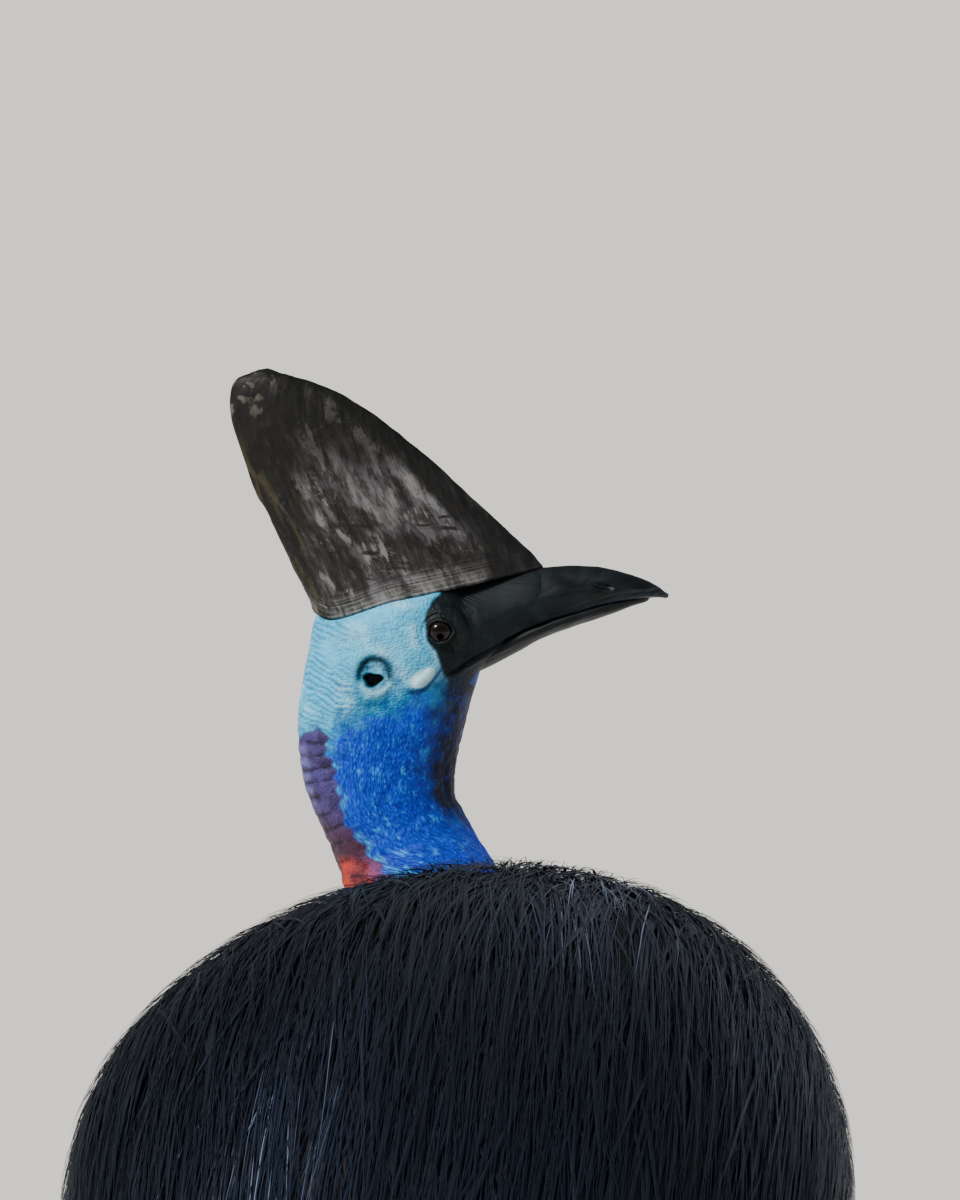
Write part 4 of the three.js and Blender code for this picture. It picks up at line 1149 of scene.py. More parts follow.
    def lid(self, side: Side, reach: float, proud: float, thick: float, seed: int) -> Piece:
        """A fold of the lids, as a ring that lies on the eye.

        Args:
            side: the eye's side.
            reach: how far out the ring runs, against the opening of the lids.
            proud: the radius of the ball that it lies on.
            thick: half its thickness.
            seed: picks its unevenness.

        Returns:
            The ring.
        """
        deselect()
        bpy.ops.mesh.primitive_torus_add(major_segments=84, minor_segments=12, major_radius=2, minor_radius=1)
        piece = bpy.context.object
        piece.name = f"lid_{side.label}_{seed}"
        ring = fetch(piece.data.vertices, "co", 3)
        angle = np.arctan2(ring[:, 1], ring[:, 0])
        out = np.hypot(ring[:, 0], ring[:, 1]) - 2
        wave = 0.25 * np.sin(3 * angle + seed) + 0.15 * np.sin(7 * angle + 2 * seed)
        width = thick * (1 + 0.22 * np.sin(angle + 0.4) ** 2)
        forward = (self.lid_radii[0] * reach + wave) * np.cos(angle)
        up = (self.lid_radii[1] * reach + wave) * np.sin(angle)
        left = np.sqrt(np.maximum(proud**2 - forward**2 - up**2, 4.0))
        away = unit(np.stack([forward, left, up], axis=1))
        level = unit(np.stack([np.cos(angle), np.zeros_like(angle), np.sin(angle)], axis=1))
        level = unit(level - away * np.sum(level * away, axis=1, keepdims=True))
        centre = np.stack([forward, left, up], axis=1)
        local = centre + level * (out * width)[:, None] + away * (ring[:, 2] * width)[:, None]
        forward, left, up = local.T
        df, du = self.lid_at
        put_places(piece, head_to_bird(forward + df, side.value * (self.eye_out + left), up + du + EYE_RISE))
        face_out(piece)
        return rounded(piece)

    def fold_band(self, p: Array, angle: Array) -> tuple[Array, Array]:
        """How much each point belongs to the folded band of the nape, and how far in from its edge it is."""
        in_from_nape = np.abs(self.nape_radius * (1 - np.cos(angle)) - 11 * smooth(p[:, 2], 978, 992))
        tooth = 1.7 * np.cos(TURN * (self.fold_height_of(p, angle) - self.fold_low) / self.fold_spacing)
        edge = mix(21.5, -1, smooth(p[:, 2], 972, 1002)) * mix(1, 0.5, smooth(-p[:, 2], -925, -885))
        edge = edge + 2.2 * lattice_noise(p, 9, 3) - tooth
        inside = edge - in_from_nape
        top = smooth(-p[:, 2], -self.fold_high - 2, -self.fold_high + 5)
        band = smooth(inside, -0.6, 2.2) * smooth(p[:, 2], self.fold_low - 30, self.fold_low) * top
        return band * (np.abs(angle) < self.nape_reach), inside

    def fold_height_of(self, p: Array, angle: Array) -> Array:
        """Heights along which the folds run, rising towards the front lower down."""
        tilt = 0.36 * self.nape_radius * (1 - np.cos(angle)) * smooth(-p[:, 2], -992, -955)
        return p[:, 2] - tilt + 2.2 * lattice_noise(p, (22, 22, 17), 1) + 0.9 * lattice_noise(p, 6, 5)

    def fold_wave(self, p: Array, angle: Array) -> Array:
        """The folds' own height from 0 in a crease to 1 on a ridge."""
        turns = (self.fold_height_of(p, angle) - self.fold_low) / self.fold_spacing
        split = 0.3 * np.abs(np.sin(2 * math.pi * turns)) ** 3
        split = split * smooth(lattice_noise(p, (14, 14, 9), 23), -0.2, 0.5)
        kept = mix(0.4, 1, smooth(lattice_noise(p, (13, 13, 8), 37), -0.5, 0.2))
        return 1 - (1 - np.clip(np.abs(np.sin(math.pi * turns)) ** 0.62 - split, 0, 1)) * kept

    def relief(self, p: Array) -> Array:
        """How far each point of head and neck stands off the plain form, in millimetres."""
        _, angle, along = NECK.locate(p, 0.75)
        forward, left, up = bird_to_head(p)
        lie = self.lie(angle, along)
        side = np.abs(left)
        band, _ = self.fold_band(p, angle)
        ridge = self.fold_wave(p, angle) * (0.85 + 0.4 * lattice_noise(p, 11, 2))
        at_nape = mix(1, 0.5, smooth(np.cos(angle), 0.7, 0.95))
        height = band * (self.fold_height * at_nape * ridge - 0.5 + 0.4 * lattice_noise(p, 3.4, 27))
        red = band * smooth(-p[:, 2], -932, -902)
        height += red * (1.5 * layered_noise(p, 7, 4) + 2.6 * cell_bumps(p, (8, 8, 6.5), 6) - 0.8)
        neck = smooth(-up, 34, 60) * (1 - band)
        beads, folds = cell_bumps(lie, (2.6, 2.6, 5.6), 2), lattice_noise(lie, (10, 10, 60), 8)
        height += neck * (0.75 * beads + 0.6 * folds + 0.35 * lattice_noise(lie, (5, 5, 18), 18))
        pleats = smooth(-up, 84, 120) * (1 - band)
        wander = 1.5 * lattice_noise(lie, (20, 20, 45), 28)
        height += pleats * 0.55 * np.sin(38 * angle / 1.9 + wander) * smooth(np.abs(angle), 0.9, 1.5)
        height += (1 - neck) * 0.35 * cell_bumps(p, 2.7, 16) * (1 - band) * (1 - smooth(forward, 4, 24))
        height += 0.6 * self.wrinkle(p, forward, up) * (1 - band)
        throat = smooth(np.abs(angle), 1.9, 2.6) * smooth(-up, 30, 55)
        height += throat * (0.9 * lattice_noise(lie, (5, 5, 40), 12) - 0.3)
        height += self.ear_relief(forward, up, side, p) + self.mouth_relief(forward, up, side)
        height += self.lid_folds(forward, up, side, p)
        cheek = smooth(side, 12, 20) * smooth(up, -60, -45) * (1 - smooth(forward, 18, 34))
        return height + 0.55 * cheek * layered_noise(p, 9, 14)

    def wrinkle(self, p: Array, forward: Array, up: Array) -> Array:
        """Broken cross wrinkles on the back of the head, from -1 in a crease, fading forwards."""
        wander = 2.6 * lattice_noise(p, 13, 7) + 1.3 * lattice_noise(p, 5.5, 17)
        wave = np.sin(TURN * (up + 0.36 * forward + wander) / 3.4)
        there = smooth(-forward, 38, 60) * smooth(-up, -18, 0) * smooth(up, -88, -70)
        broken = smooth(lattice_noise(p, (11, 11, 6), 19), -0.45, 0.35)
        return there * broken * np.minimum(wave, 0.35)

    def lid_folds(self, forward: Array, up: Array, side: Array, p: Array) -> Array:
        """Soft creases round the lids."""
        up = up - EYE_RISE
        (df, du), (rf, ru) = self.lid_at, self.lid_radii
        out = np.hypot((forward - df) / rf, (up - du) / ru)
        around = np.arctan2(up, forward)
        out = out + 0.05 * np.sin(2 * around + 0.6) + 0.07 * lattice_noise(p, 6, 33)
        near = smooth(side, 16, 22)
        crease = -0.9 * bell(out - 1.42, 0.085) * smooth(np.cos(around - 2.4), -0.9, 0.3)
        second = -0.5 * bell(out - 1.78, 0.08) * smooth(np.cos(around + 2.3), -0.3, 0.6)
        brow = 0.8 * bell(out - 1.6, 0.16) * smooth(np.sin(around), 0.1, 0.8)
        return near * (crease + second + brow)

    def ear_hole(self, forward: Array, up: Array) -> Array:
        """How far each point lies from the middle of the ear's hole, 1 at its edge."""
        df, du = forward - self.ear[0] + 1.4, up - self.ear[1] + 1.9
        round_at = np.arctan2(du / 4.2, df / 5.8)
        return np.hypot(df / 5.8, du / 4.2) / (1 + 0.15 * np.cos(3 * round_at - 1.05))

    def ear_relief(self, forward: Array, up: Array, side: Array, p: Array) -> Array:
        """The shallow cup of the ear, its crease, its lower lip and the hole."""
        df, du = forward - self.ear[0], up - self.ear[1]
        flank = smooth(side, 18, 24)
        out = np.hypot(df / self.ear_radii[0], du / self.ear_radii[1]) + 0.06 * lattice_noise(p, 5, 22)
        upper = smooth(du + 0.25 * np.abs(df), -5, 3)
        cup = -1.5 * (1 - smooth(out, 0.55, 0.92)) - 1.5 * bell(out - 0.88, 0.11) * upper
        lip = 1.1 * bell(out - 0.86, 0.2) * smooth(-du, 1.5, 6.5) + 0.6 * bell(out - 1.12, 0.14) * upper
        hole = self.ear_hole(forward, up)
        return flank * (cup + lip - 7.0 * (1 - smooth(hole, 0.72, 1.04)) + 0.4 * bell(hole - 1.22, 0.16))

    def mouth_relief(self, forward: Array, up: Array, side: Array) -> Array:
        """The line of the mouth behind the bill, with its lips."""
        line = np.interp(forward, *np.array(self.mouth_line).T)
        near = up - line
        there = smooth(forward, 2, 8) * smooth(side, 7, 11)
        return there * (-2.0 * bell(near, 1.0) + 0.6 * bell(near - 2.6, 1.3) + 0.7 * bell(near + 2.8, 1.4))

    def tuck_under_casque(self, p: Array, casque: "Casque") -> Array:
        """Draws the crown in so that it meets the casque's rim from below."""
        forward, left, up = bird_to_head(p)
        below = -casque.above_rim(forward, up)
        depth = np.clip(below / self.crown_shoulder, 0, 1)
        allowed = casque.half_width_at_rim(forward) - 1.0 + 12 * np.sqrt(np.clip(1 - (1 - depth) ** 2, 0, 1))
        over = np.abs(left) > allowed
        near = (below < self.crown_shoulder) & over & (forward < 46)
        left = np.where(near, np.sign(left) * allowed, left)
        up = np.where(below < -2.0, up + (below + 2.0), up)
        return np.where((near | (below < -2.0))[:, None], head_to_bird(forward, left, up), p)

    def lie(self, angle: Array, along: Array) -> Array:
        """The way the skin's papillae lie: round the neck on a cylinder of even size, and along it."""
        r = self.papilla_radius
        return np.stack([r * np.cos(angle), r * np.sin(angle), along], axis=1)

    def open_lids(self, p: Array) -> Array:
        """Sinks the skin behind the eye where the lids part."""
        df, du = self.lid_at
        for side in Side:
            forward, left, up = bird_to_head(p)
            away = np.stack([forward - df, left - side.value * self.eye_out, up - du - EYE_RISE], axis=1)
            ahead = away[:, 1] * side.value > 0
            out = np.hypot(away[:, 0] / (self.lid_radii[0] + 0.9), away[:, 2] / (self.lid_radii[1] + 0.9))
            sink = (1 - smooth(out, 0.92, 1.08)) * ahead
            radius = np.linalg.norm(away, axis=1)
            target = np.minimum(radius, self.eye_radius - 1.2)
            scale = mix(radius, target, sink) / np.maximum(radius, 1e-6)
            centre = head_to_bird(np.array(df), np.array(side.value * self.eye_out), np.array(du + EYE_RISE))
            p = centre + (p - centre) * scale[:, None]
        return p

    def marking(self, p: Array) -> tuple[Array, Array, Array, Array]:
        """The colours of the bare skin, from where each point lies on the head and neck.

        Returns:
            Linear colours, the lie in metres, how strongly papillae glint and how deep the painted shade in
            their gaps is, and the station.
        """
        u, angle, along = NECK.locate(p, 0.0)
        forward, left, up = bird_to_head(p)
        side = np.abs(left)
        lie = self.lie(angle, along)
        patch = layered_noise(p, 11, 31)
        fleck = layered_noise(p, 4.5, 41, 3)
        paint = Paint(np.repeat(tone("#55c8f4")[None], len(p), axis=0))
        lay = paint.lay
        lay("#a4e4fd", smooth(patch, -0.2, 0.8) * 0.6)
        # painted shade: darker teal in the creases of the cross wrinkles
        lay("#1b83b8", smooth(-self.wrinkle(p, forward, up), 0.1, 0.8) * 0.85)
        lay("#1f93bd", smooth(fleck, 0.15, 0.8) * smooth(-up, 8, 40) * 0.6)
        back = smooth(-forward, 18, 80)
        fall = 2.2 - up + 7 * patch + 7 * fleck - 27 * back
        lay("#0f86c4", smooth(fall, 24, 38) * 0.9)
        below_ear = bell(np.hypot((forward + 36) / 17, (up + 43) / 12), 1.0)
        lay("#0b6a86", below_ear * smooth(fleck + 0.4 * patch, -0.7, 0.5) * 0.9)
        lay("#0440cc", smooth(fall, 36, 54) * 0.95)
        deep = layered_noise(lie, 14, 51)
        lay("#0330b4", smooth(fall, 48, 75) * smooth(deep, -0.2, 0.7) * 0.7)
        streak = layered_noise(lie / np.array([1, 1, 2.4]), 2.1, 61, 2)
        lay("#1f8cf2", smooth(fall, 40, 60) * smooth(streak, 0.2, 0.8) * 0.75)
        # painted cyan glints, in patches, on the brightest streaks of the blue neck
        glint_patches = smooth(layered_noise(p, 16, 63), -0.1, 0.6)
        lay("#3cbcf6", smooth(fall, 34, 48) * smooth(streak, 0.45, 0.9) * glint_patches * 0.7)
        low_front = smooth(-up, 104, 138) * smooth(np.abs(angle), 1.2, 2.2)
        lay("#2f4ade", low_front * 0.7)
        throat = smooth(np.abs(angle) + 0.22 * patch, 2.05, 2.6) * smooth(-up, 24, 36) * smooth(up, -124, -98)
        lay("#01061a", throat * 0.97)
        lay("#0a3fa8", throat * smooth(streak, 0.42, 0.7) * 0.6)
        self.lay_folds(lay, p, angle, up, patch, fleck)
        self.lay_face(lay, forward, up, side, patch, p)
        band, mask = self.fold_band(p, angle)[0], self.mask_share(forward, up, patch)
        # how pebbled the skin is, which also sets how strong the painted glints and the painted gap shade are
        grain_glint_and_shade = smooth(fall, 30, 62) * (1 - 0.5 * throat) * (1 - band * 0.85) * (1 - mask)
        return paint.colour, lie * MM, np.clip(grain_glint_and_shade, 0.0, 1.0), u

    def lay_folds(self, lay: Lay, p: Array, angle: Array, up: Array, patch: Array, fleck: Array) -> None:
        """Lays the folded band, from lavender at the top through plum to orange-red, with painted highlights
        on the upper ridges, painted cyan glints along its edge, and painted shade in its creases and between
        its lumps.
        """
        band, inside = self.fold_band(p, angle)
        fold = self.fold_wave(p, angle)
        beside = bell(inside + 1.6, 2.0) * smooth(-up, 46, 60) * (np.abs(angle) < self.nape_reach)
        # painted cyan glints along the folded band's edge
        lay("#4fc0ea", beside * smooth(fleck, -0.1, 0.7) * 0.7)
        lay("#4c4180", band)
        lay("#33264f", band * smooth(layered_noise(p, 7, 91), -0.3, 0.6) * 0.75)
        # painted highlight: the lavender of the band's upper part, laid on the fold ridges only
        lit_ridges = smooth(p[:, 2], 930, 968) * smooth(fold, 0.4, 0.95)
        lay("#7f7cc2", band * smooth(inside, 13, 20) * lit_ridges * 0.7)
        lay("#44213a", band * smooth(-p[:, 2], -955, -925))
        lay("#c03c2c", band * smooth(-p[:, 2] + 7 * patch, -922, -904))
        lay("#8d5088", band * smooth(-p[:, 2], -926, -908) * smooth(-inside, -9, -4) * 0.85)
        lay("#d8604a", band * smooth(-p[:, 2], -915, -902) * smooth(fleck, 0.2, 0.9) * 0.6)
        lump = cell_bumps(p, (8, 8, 6.5), 6)
        # painted shade in the hollows between the red lumps
        lay("#3a0c14", band * smooth(-p[:, 2], -922, -906) * smooth(-lump, -0.3, -0.06) * 0.85)
        # painted shade in the creases between the folds
        lay("#150b22", band * smooth(-fold, -0.72, -0.15) * 0.9)

    def mask_share(self, forward: Array, up: Array, patch: Array) -> Array:
        """How much each point belongs to the black mask before the eye."""
        edge_up = np.array([-60, -34, -22, -12, -6, 3, 11, 18, 24, 40])
        edge_at = np.array([14, 6, -0.5, -4.5, -8.5, -9.5, -8.0, -3.0, 3.5, 6.0])
        edge = np.interp(up - 2.2, edge_up, edge_at) + 1.6 * patch
        below = smooth(2.2 - up + 0.62 * np.clip(forward - 8, 0, 60) + 5 * patch, 24, 40)
        return smooth(forward - edge, -0.6, 1.8) * (1 - below)

    def lay_face(self, lay: Lay, forward: Array, up: Array, side: Array, patch: Array, p: Array) -> None:
        """Lays the black mask, the ear, the pale lobe and the blue corner of the gape, with a painted sheen
        on the mask, painted shade in the ear's crease and hole, and a painted shadow under the lobe.
        """
        mask = self.mask_share(forward, up, patch)
        rear_edge = np.interp(up - 2.2, [-60, -22, -6, 3, 11, 24], [10, -0.5, -8.5, -9.5, -8.0, 3.5])
        lay("#0d9cc8", bell(forward - rear_edge + 2.2, 2.4) * smooth(up, -22, -8) * (0.6 + 0.3 * patch))
        chin_edge = np.interp(up - 2.2, [-74, -46, -32, -22, -8, 0], [12, 3, -1.5, -2, 6, 20]) + 2.4 * patch
        chin_edge = chin_edge + 2.2 * layered_noise(p, 4.2, 75) * smooth(-up, 24, 30)
        chin = smooth(forward - chin_edge, -3, 6) * smooth(up, -76, -58)
        lay("#04103a", chin * 0.92)
        lay("#0b3c9e", chin * smooth(layered_noise(p, 3.6, 73), 0.1, 0.7) * smooth(-up, 20, 34) * 0.75)
        lay("#061018", chin * smooth(forward - chin_edge + 4 * patch, 10, 22) * 0.8)
        lay("#081317", mask)
        # painted blue-grey sheen in patches on the black mask
        lay("#13222b", mask * smooth(layered_noise(p, 5, 71), 0.1, 0.9) * 0.7)
        df, du = forward - self.ear[0], up - self.ear[1]
        out = np.hypot(df / self.ear_radii[0], du / self.ear_radii[1]) + 0.05 * patch
        flank = smooth(side, 18, 24)
        upper = smooth(du + 0.25 * np.abs(df), -5, 3)
        mottle = mix(0.3, 0.95, smooth(layered_noise(p, 2.6, 93), -0.4, 0.4))
        lay("#1a6d90", flank * (1 - smooth(out, 0.75, 1.05)) * mottle)
        # painted shadow in the crease along the ear's upper rim, and a thinner one along its front
        lay("#042438", flank * bell(out - 0.95, 0.25 + 0.1 * smooth(-df, 0, 8)) * upper * 0.97)
        lay("#0f5f82", flank * bell(out - 1.08, 0.12) * smooth(df, 0, 7) * 0.6)
        lay("#93d8f0", flank * bell(out - 0.9, 0.17) * smooth(-du, 2, 7) * (0.75 + 0.3 * patch))
        # painted shade: the ear's hole near black
        lay("#020405", flank * (1 - smooth(self.ear_hole(forward, up), 0.86, 1.06)))
        bean, wide = self.lobe_reach(forward, up)
        # painted shadow: deep blue under the lobe
        lay("#031f5a", flank * bell(bean - 1.3, 0.24) * smooth(-wide, -1, 3) * 0.9)
        lay("#c2f0ff", flank * (1 - smooth(bean, 0.86, 1.06)))
        gape = np.hypot((forward - 26) / 9.5, (up + 24.5 - 0.62 * (forward - 26)) / 3.6)
        lay("#1c55c8", (1 - smooth(gape + 0.25 * patch, 0.55, 1.1)) * 0.9)

    def build(self) -> Piece:
        """Builds the skin, stores its markings and dresses it."""
        form = self.fine_form()
        p, n = places(form), normals(form)
        relief = self.relief(p)
        p = self.tuck_under_casque(p + n * relief[:, None], Casque())
        put_places(form, self.open_lids(p))
        skin = self.united([form, self.coarse_form()])
        skin = joined("skin", [skin, *(self.lid(side, 1.0, 10.05, 0.95, 1) for side in Side)])
        count = sum(len(face.vertices) - 2 for face in skin.data.polygons)
        apply(skin, "DECIMATE", ratio=self.most_triangles / count)
        edit_all(skin)
        bpy.ops.mesh.select_all(action="DESELECT")
        bpy.ops.mesh.select_non_manifold()
        bpy.ops.mesh.merge(type="COLLAPSE")
        face_out(skin)
        rounded(skin)
        p = places(skin)
        colour, lie, grain_glint_and_shade, station = self.marking(p)
        wattles = self.wattle_share(p)
        red = mix(tone("#8c2026"), tone("#b8443c"), smooth(layered_noise(p, 7, 81), -0.5, 0.8)[:, None])
        set_colours(skin, "marking", mix(colour, red, wattles[:, None]))
        set_attribute(skin, "lie", lie)
        set_attribute(skin, "grain_glint_and_shade", grain_glint_and_shade * (1 - 0.8 * wattles))
        set_attribute(skin, "polish", self.polish(p))
        dress(
            skin, BareSkin().make(),
            (
                "head", "neck_upper", "neck_lower", "wattle_left", "wattle_right", "torso",
                "thigh_left", "thigh_right",
            ),
        )
        skin.data.materials.append(UnderCoat().make())
        bare = ((station > self.under_feathers) & (p[:, 2] > 800)) | (wattles > 0.5)
        self.split_materials(skin, bare)
        self.unwrap(skin)
        return skin

    def unwrap(self, skin: Piece) -> None:
        """Lays out the map for baking: bare skin on most of it, and what feathers hide in a strip below."""
        skin.data.uv_layers.active = skin.data.uv_layers.new(name="OFBake")
        shares = ((0, 0.09, 1.0), (1, 0.0, 0.08))
        for number, _, _ in shares:
            edit_all(skin)
            bpy.ops.mesh.select_all(action="DESELECT")
            skin.active_material_index = number
            bpy.ops.object.material_slot_select()
            bpy.ops.uv.smart_project(angle_limit=math.radians(66), island_margin=0.001)
            bpy.ops.object.mode_set(mode="OBJECT")
        layer = skin.data.uv_layers["OFBake"]
        at = fetch(layer.uv, "vector", 2, np.float32)
        slot = fetch(skin.data.polygons, "material_index", kind=np.int32)
        per_loop = np.repeat(slot, fetch(skin.data.polygons, "loop_total", kind=np.int32))
        for number, low, high in shares:
            at[per_loop == number, 1] = low + (high - low) * at[per_loop == number, 1]
        layer.uv.foreach_set("vector", at.ravel())

    def polish(self, p: Array) -> Array:
        """Where the skin is smooth: on the lobe, in the ear, and before the eye towards the bill."""
        forward, left, up = bird_to_head(p)
        near = smooth(np.abs(left), 14, 20)
        bean = self.lobe_reach(forward, up)[0]
        smooth_lobe = near * (1 - smooth(bean, 0.9, 1.15))
        ear = near * (1 - smooth(self.ear_hole(forward, up), 1.0, 1.3))
        mask = self.mask_share(forward, up, layered_noise(p, 11, 31))
        lores = mask * mix(0.35, 1.0, smooth(forward, 8, 34))
        return np.clip(np.maximum(np.maximum(smooth_lobe, ear), lores), 0, 1)

    def lobe_reach(self, forward: Array, up: Array) -> tuple[Array, Array]:
        """How far each point lies from the middle of the lobe, 1 at its edge, and how far across it."""
        c, s = math.cos(self.lobe_turn), math.sin(self.lobe_turn)
        df, du = forward - self.lobe_at[0], up - self.lobe_at[1]
        long, wide = df * c + du * s, -df * s + du * c
        return np.hypot(long / 8.6, wide / mix(5.0, 3.7, smooth(long, -5, 6))), wide

    def wattle_share(self, p: Array) -> Array:
        """How much each point belongs to the wattles."""
        r = NECK.ring(self.wattle_station)
        throat = -r["nape"][0]
        root = r["centre"][0] + throat * (r["depth"][0] + 2)
        ahead = (p - root) @ throat
        near = np.linalg.norm((p - root)[:, :2], axis=1) < 60
        fray = 3 * layered_noise(p, 6, 83)
        return smooth(ahead + fray, -1, 5) * near * smooth(root[2] + 2 + 2 * fray - p[:, 2], 0, 12)

    def split_materials(self, skin: Piece, bare: Array) -> None:
        """Gives the faces under the coat the second material."""
        first = fetch(skin.data.polygons, "loop_start", kind=np.int32)
        corner = fetch(skin.data.loops, "vertex_index", kind=np.int32)
        skin.data.polygons.foreach_set("material_index", np.where(bare[corner[first]], 0, 1).astype(np.int32))
        skin.data.update()


# Eyes, casque and bill


@dataclass
class Eye:
    """An eyeball with its cornea, set behind the lids."""

    side: Side
    radius: float = 9.5
    out: float = 22.5
    iris: float = 5.6
    cornea: float = 0.7

    def build(self) -> Piece:
        """Builds and dresses the eye."""
        k = self.side.value

        def place(share: Array, angle: Array) -> Array:
            across, upward, axis = ball_parts(share, angle)
            forward, up = across * self.radius, upward * self.radius
            bulge = self.cornea * (1 - smooth(np.hypot(forward, up), 3.5, 7.5)) * (axis > 0)
            return head_to_bird(forward, k * (self.out + axis * self.radius + bulge), up + EYE_RISE)

        eye = shaped_ball(f"eyeball_{self.side.label}", place, 64, 64)
        forward, left, up = bird_to_head(places(eye))
        facing = np.where(k * left > self.out, 1, 3)
        set_uv(eye, "Iris", np.stack([forward, up - EYE_RISE], axis=1) / self.iris * facing[:, None])
        dress(eye, WetEye().make(), (f"eye_{self.side.label}",))
        return eye


@dataclass
class Casque:
    """The tall thin helmet: a blade of worn horn that rises from layered growth lines."""

    rows: Rows = (
        (-2, -69, 66, 22), (18, -77, 64, 20.5), (37, -85, 59, 17), (57, -94, 40, 14), (78, -105, 18, 11.8),
        (100, -114, -7, 10), (120, -120, -32, 8.5), (136, -121, -56, 7.4), (146, -117, -80, 5.6),
        (150.5, -107, -95, 3),
    )
    rim_height: float = 23.4
    rim_slope: float = 0.209
    front_narrowing: float = 0.42
    layer: float = 2.9  # from one growth line to the next
    rear_drop: float = 4.0

    def section(self, height: Array) -> tuple[Array, Array, Array]:
        """Rear edge, front edge and half width of the blade at heights over the eye."""
        rows = np.array(self.rows)
        shares = np.interp(height, rows[:, 0], np.arange(len(rows)))
        _, rear, front, half = through(rows, shares).T
        return rear, front, half

    def blade(self) -> Piece:
        """The blade as a closed ball, still reaching into the head."""
        rows = np.array(self.rows)

        def place(share: Array, angle: Array) -> Array:
            height, rear, front, half = through(rows, share * (len(rows) - 1)).T
            s, c = np.sin(angle), np.cos(angle)
            fade = np.where(share > 0.5, rounded_ends(share, 0.035), rounded_ends(share, 0.01))
            left = s * (1 - self.front_narrowing * np.clip(c, 0, 1)) * np.abs(s) ** 0.15 * half * fade
            forward = (rear + front) / 2 + c * (front - rear) / 2 * mix(0.25, 1, fade)
            return head_to_bird(forward, left, height + 1.5 * (1 - fade) * (share > 0.5))

        return shaped_ball("casque_blade", place, 200, 240)

    def rim_drop(self, forward: Array) -> Array:
        """How far the rim hangs under its plane towards the rear corner."""
        return self.rear_drop * smooth(-forward, 24, 60) - 10 * smooth(-forward, 60, 80) ** 1.4

    def above_rim(self, forward: Array, up: Array) -> Array:
        """How far points stand above the lower rim."""
        above = up - self.rim_height - self.rim_slope * forward + self.rim_drop(forward)
        return above / math.hypot(1, self.rim_slope)

    def half_width_at_rim(self, forward: Array) -> Array:
        """The blade's half width at its rim."""
        rear, front, half = self.section(self.rim_height + self.rim_slope * forward - self.rim_drop(forward))
        c = np.clip((forward - (rear + front) / 2) / ((front - rear) / 2), -1, 1)
        s = np.sqrt(1 - c * c)
        return np.maximum(s * (1 - self.front_narrowing * np.clip(c, 0, 1)) * s**0.15 * half, 1.5)

    def relief(self, p: Array) -> Array:
        """Dents, worn streaks and the layered rim."""
        forward, left, up = bird_to_head(p)
        rear, front, _ = self.section(up)
        above = self.above_rim(forward, up)
        flat = np.stack([forward - rear, left, up], axis=1)
        streaks = lattice_noise(flat / np.array([1, 1, 7.0]), 5.5, 3) * 0.3
        streaks = streaks + lattice_noise(flat / np.array([1, 1, 9.0]), 2.6, 4) * 0.14
        dents = 0.8 * lattice_noise(p, 34, 5) + 0.4 * lattice_noise(p, 14, 6) + 0.22 * lattice_noise(p, 5, 7)
        fade = 1 - smooth(above, 6, 22)
        wave = above + 0.7 * lattice_noise(flat, (22, 22, 22), 9)
        step = (wave / self.layer) % 1
        layers = fade * (0.7 * step**2 - 0.35) * (0.6 + 0.5 * lattice_noise(flat, (9, 9, 9), 10))
        lip = 0.5 * bell(above - 1.6, 1.6) - 1.1 * (1 - smooth(above, 0, 1.2)) ** 2
        edge = -0.5 * bell(forward - rear, 7) * smooth(lattice_noise(p, 11, 12), 0.0, 0.8)
        crest = -0.4 * smooth(up, 120, 150) * smooth(lattice_noise(p, 8, 13), 0.1, 0.9)
        keel = -0.5 * bell(forward - front + 22 - 0.1 * (up - 60), 2.5)
        keel = keel * smooth(up, 34, 50) * smooth(-up, -125, -100)
        worn = streaks * smooth(above, 4, 16) + dents * smooth(above, 0, 14)
        return worn + layers + lip + edge + crest + keel

    def marking(self, p: Array) -> tuple[Array, Array]:
        """The colours of the worn horn, and how worn it is."""
        forward, left, up = bird_to_head(p)
        rear, front, _ = self.section(up)
        above = self.above_rim(forward, up)
        from_rear, from_front = forward - rear, front - forward
        flat = np.stack([from_rear, left * 0.5, up], axis=1)
        drawn = flat / np.array([1, 1, 4.0])
        patch, streak = layered_noise(flat, 20, 1, 4), layered_noise(drawn, 5.5, 2, 3)
        paint = Paint(np.repeat(tone("#535157")[None], len(p), axis=0))
        lay = paint.lay
        lay("#77767b", smooth(patch, 0.12, 0.3) * 0.75)
        lay("#2b2a28", smooth(-patch, 0.1, 0.32) * 0.85)
        lay("#1c1b19", smooth(streak, 0.2, 0.42) * 0.6)
        strip = np.interp(above, [0, 40, 80, 130], [10, 16, 34, 46])
        rear_strip = smooth(strip - from_rear + 7 * patch, -8, 8)
        lay("#0b0a06", rear_strip * 0.94)
        lay("#3f3a26", rear_strip * smooth(layered_noise(drawn, 2.6, 5, 2), 0.25, 0.5) * 0.75)
        lay("#10100e", smooth(up + 9 * patch, 88, 112) * 0.88)
        knob = smooth(up, 116, 132) * smooth(layered_noise(p, 4, 6, 4), 0.2, 0.6)
        lay("#74736e", knob * smooth(30 - from_rear, 0, 12) * 0.6)
        reach = np.interp(up, [15, 30, 45, 95, 140], [52, 36, 28, 20, 8])
        band = smooth(reach - from_front + 3.5 * streak, -4, 4)
        lay("#090808", band * 0.93)
        low = (1 - smooth(above, 4, 11)) * (1 - band)
        lay("#73736f", low * smooth(layered_noise(flat, 8, 7), -0.3, 0.4) * 0.6)
        wear = (1 - 0.93 * band) * mix(1, 0.22, rear_strip) * (1 - 0.75 * smooth(up, 84, 104))
        wear = wear * (1 - 0.55 * smooth(forward, -22, 4) * (1 - smooth(above, 14, 24)))
        return paint.colour, np.clip(wear, 0, 1)

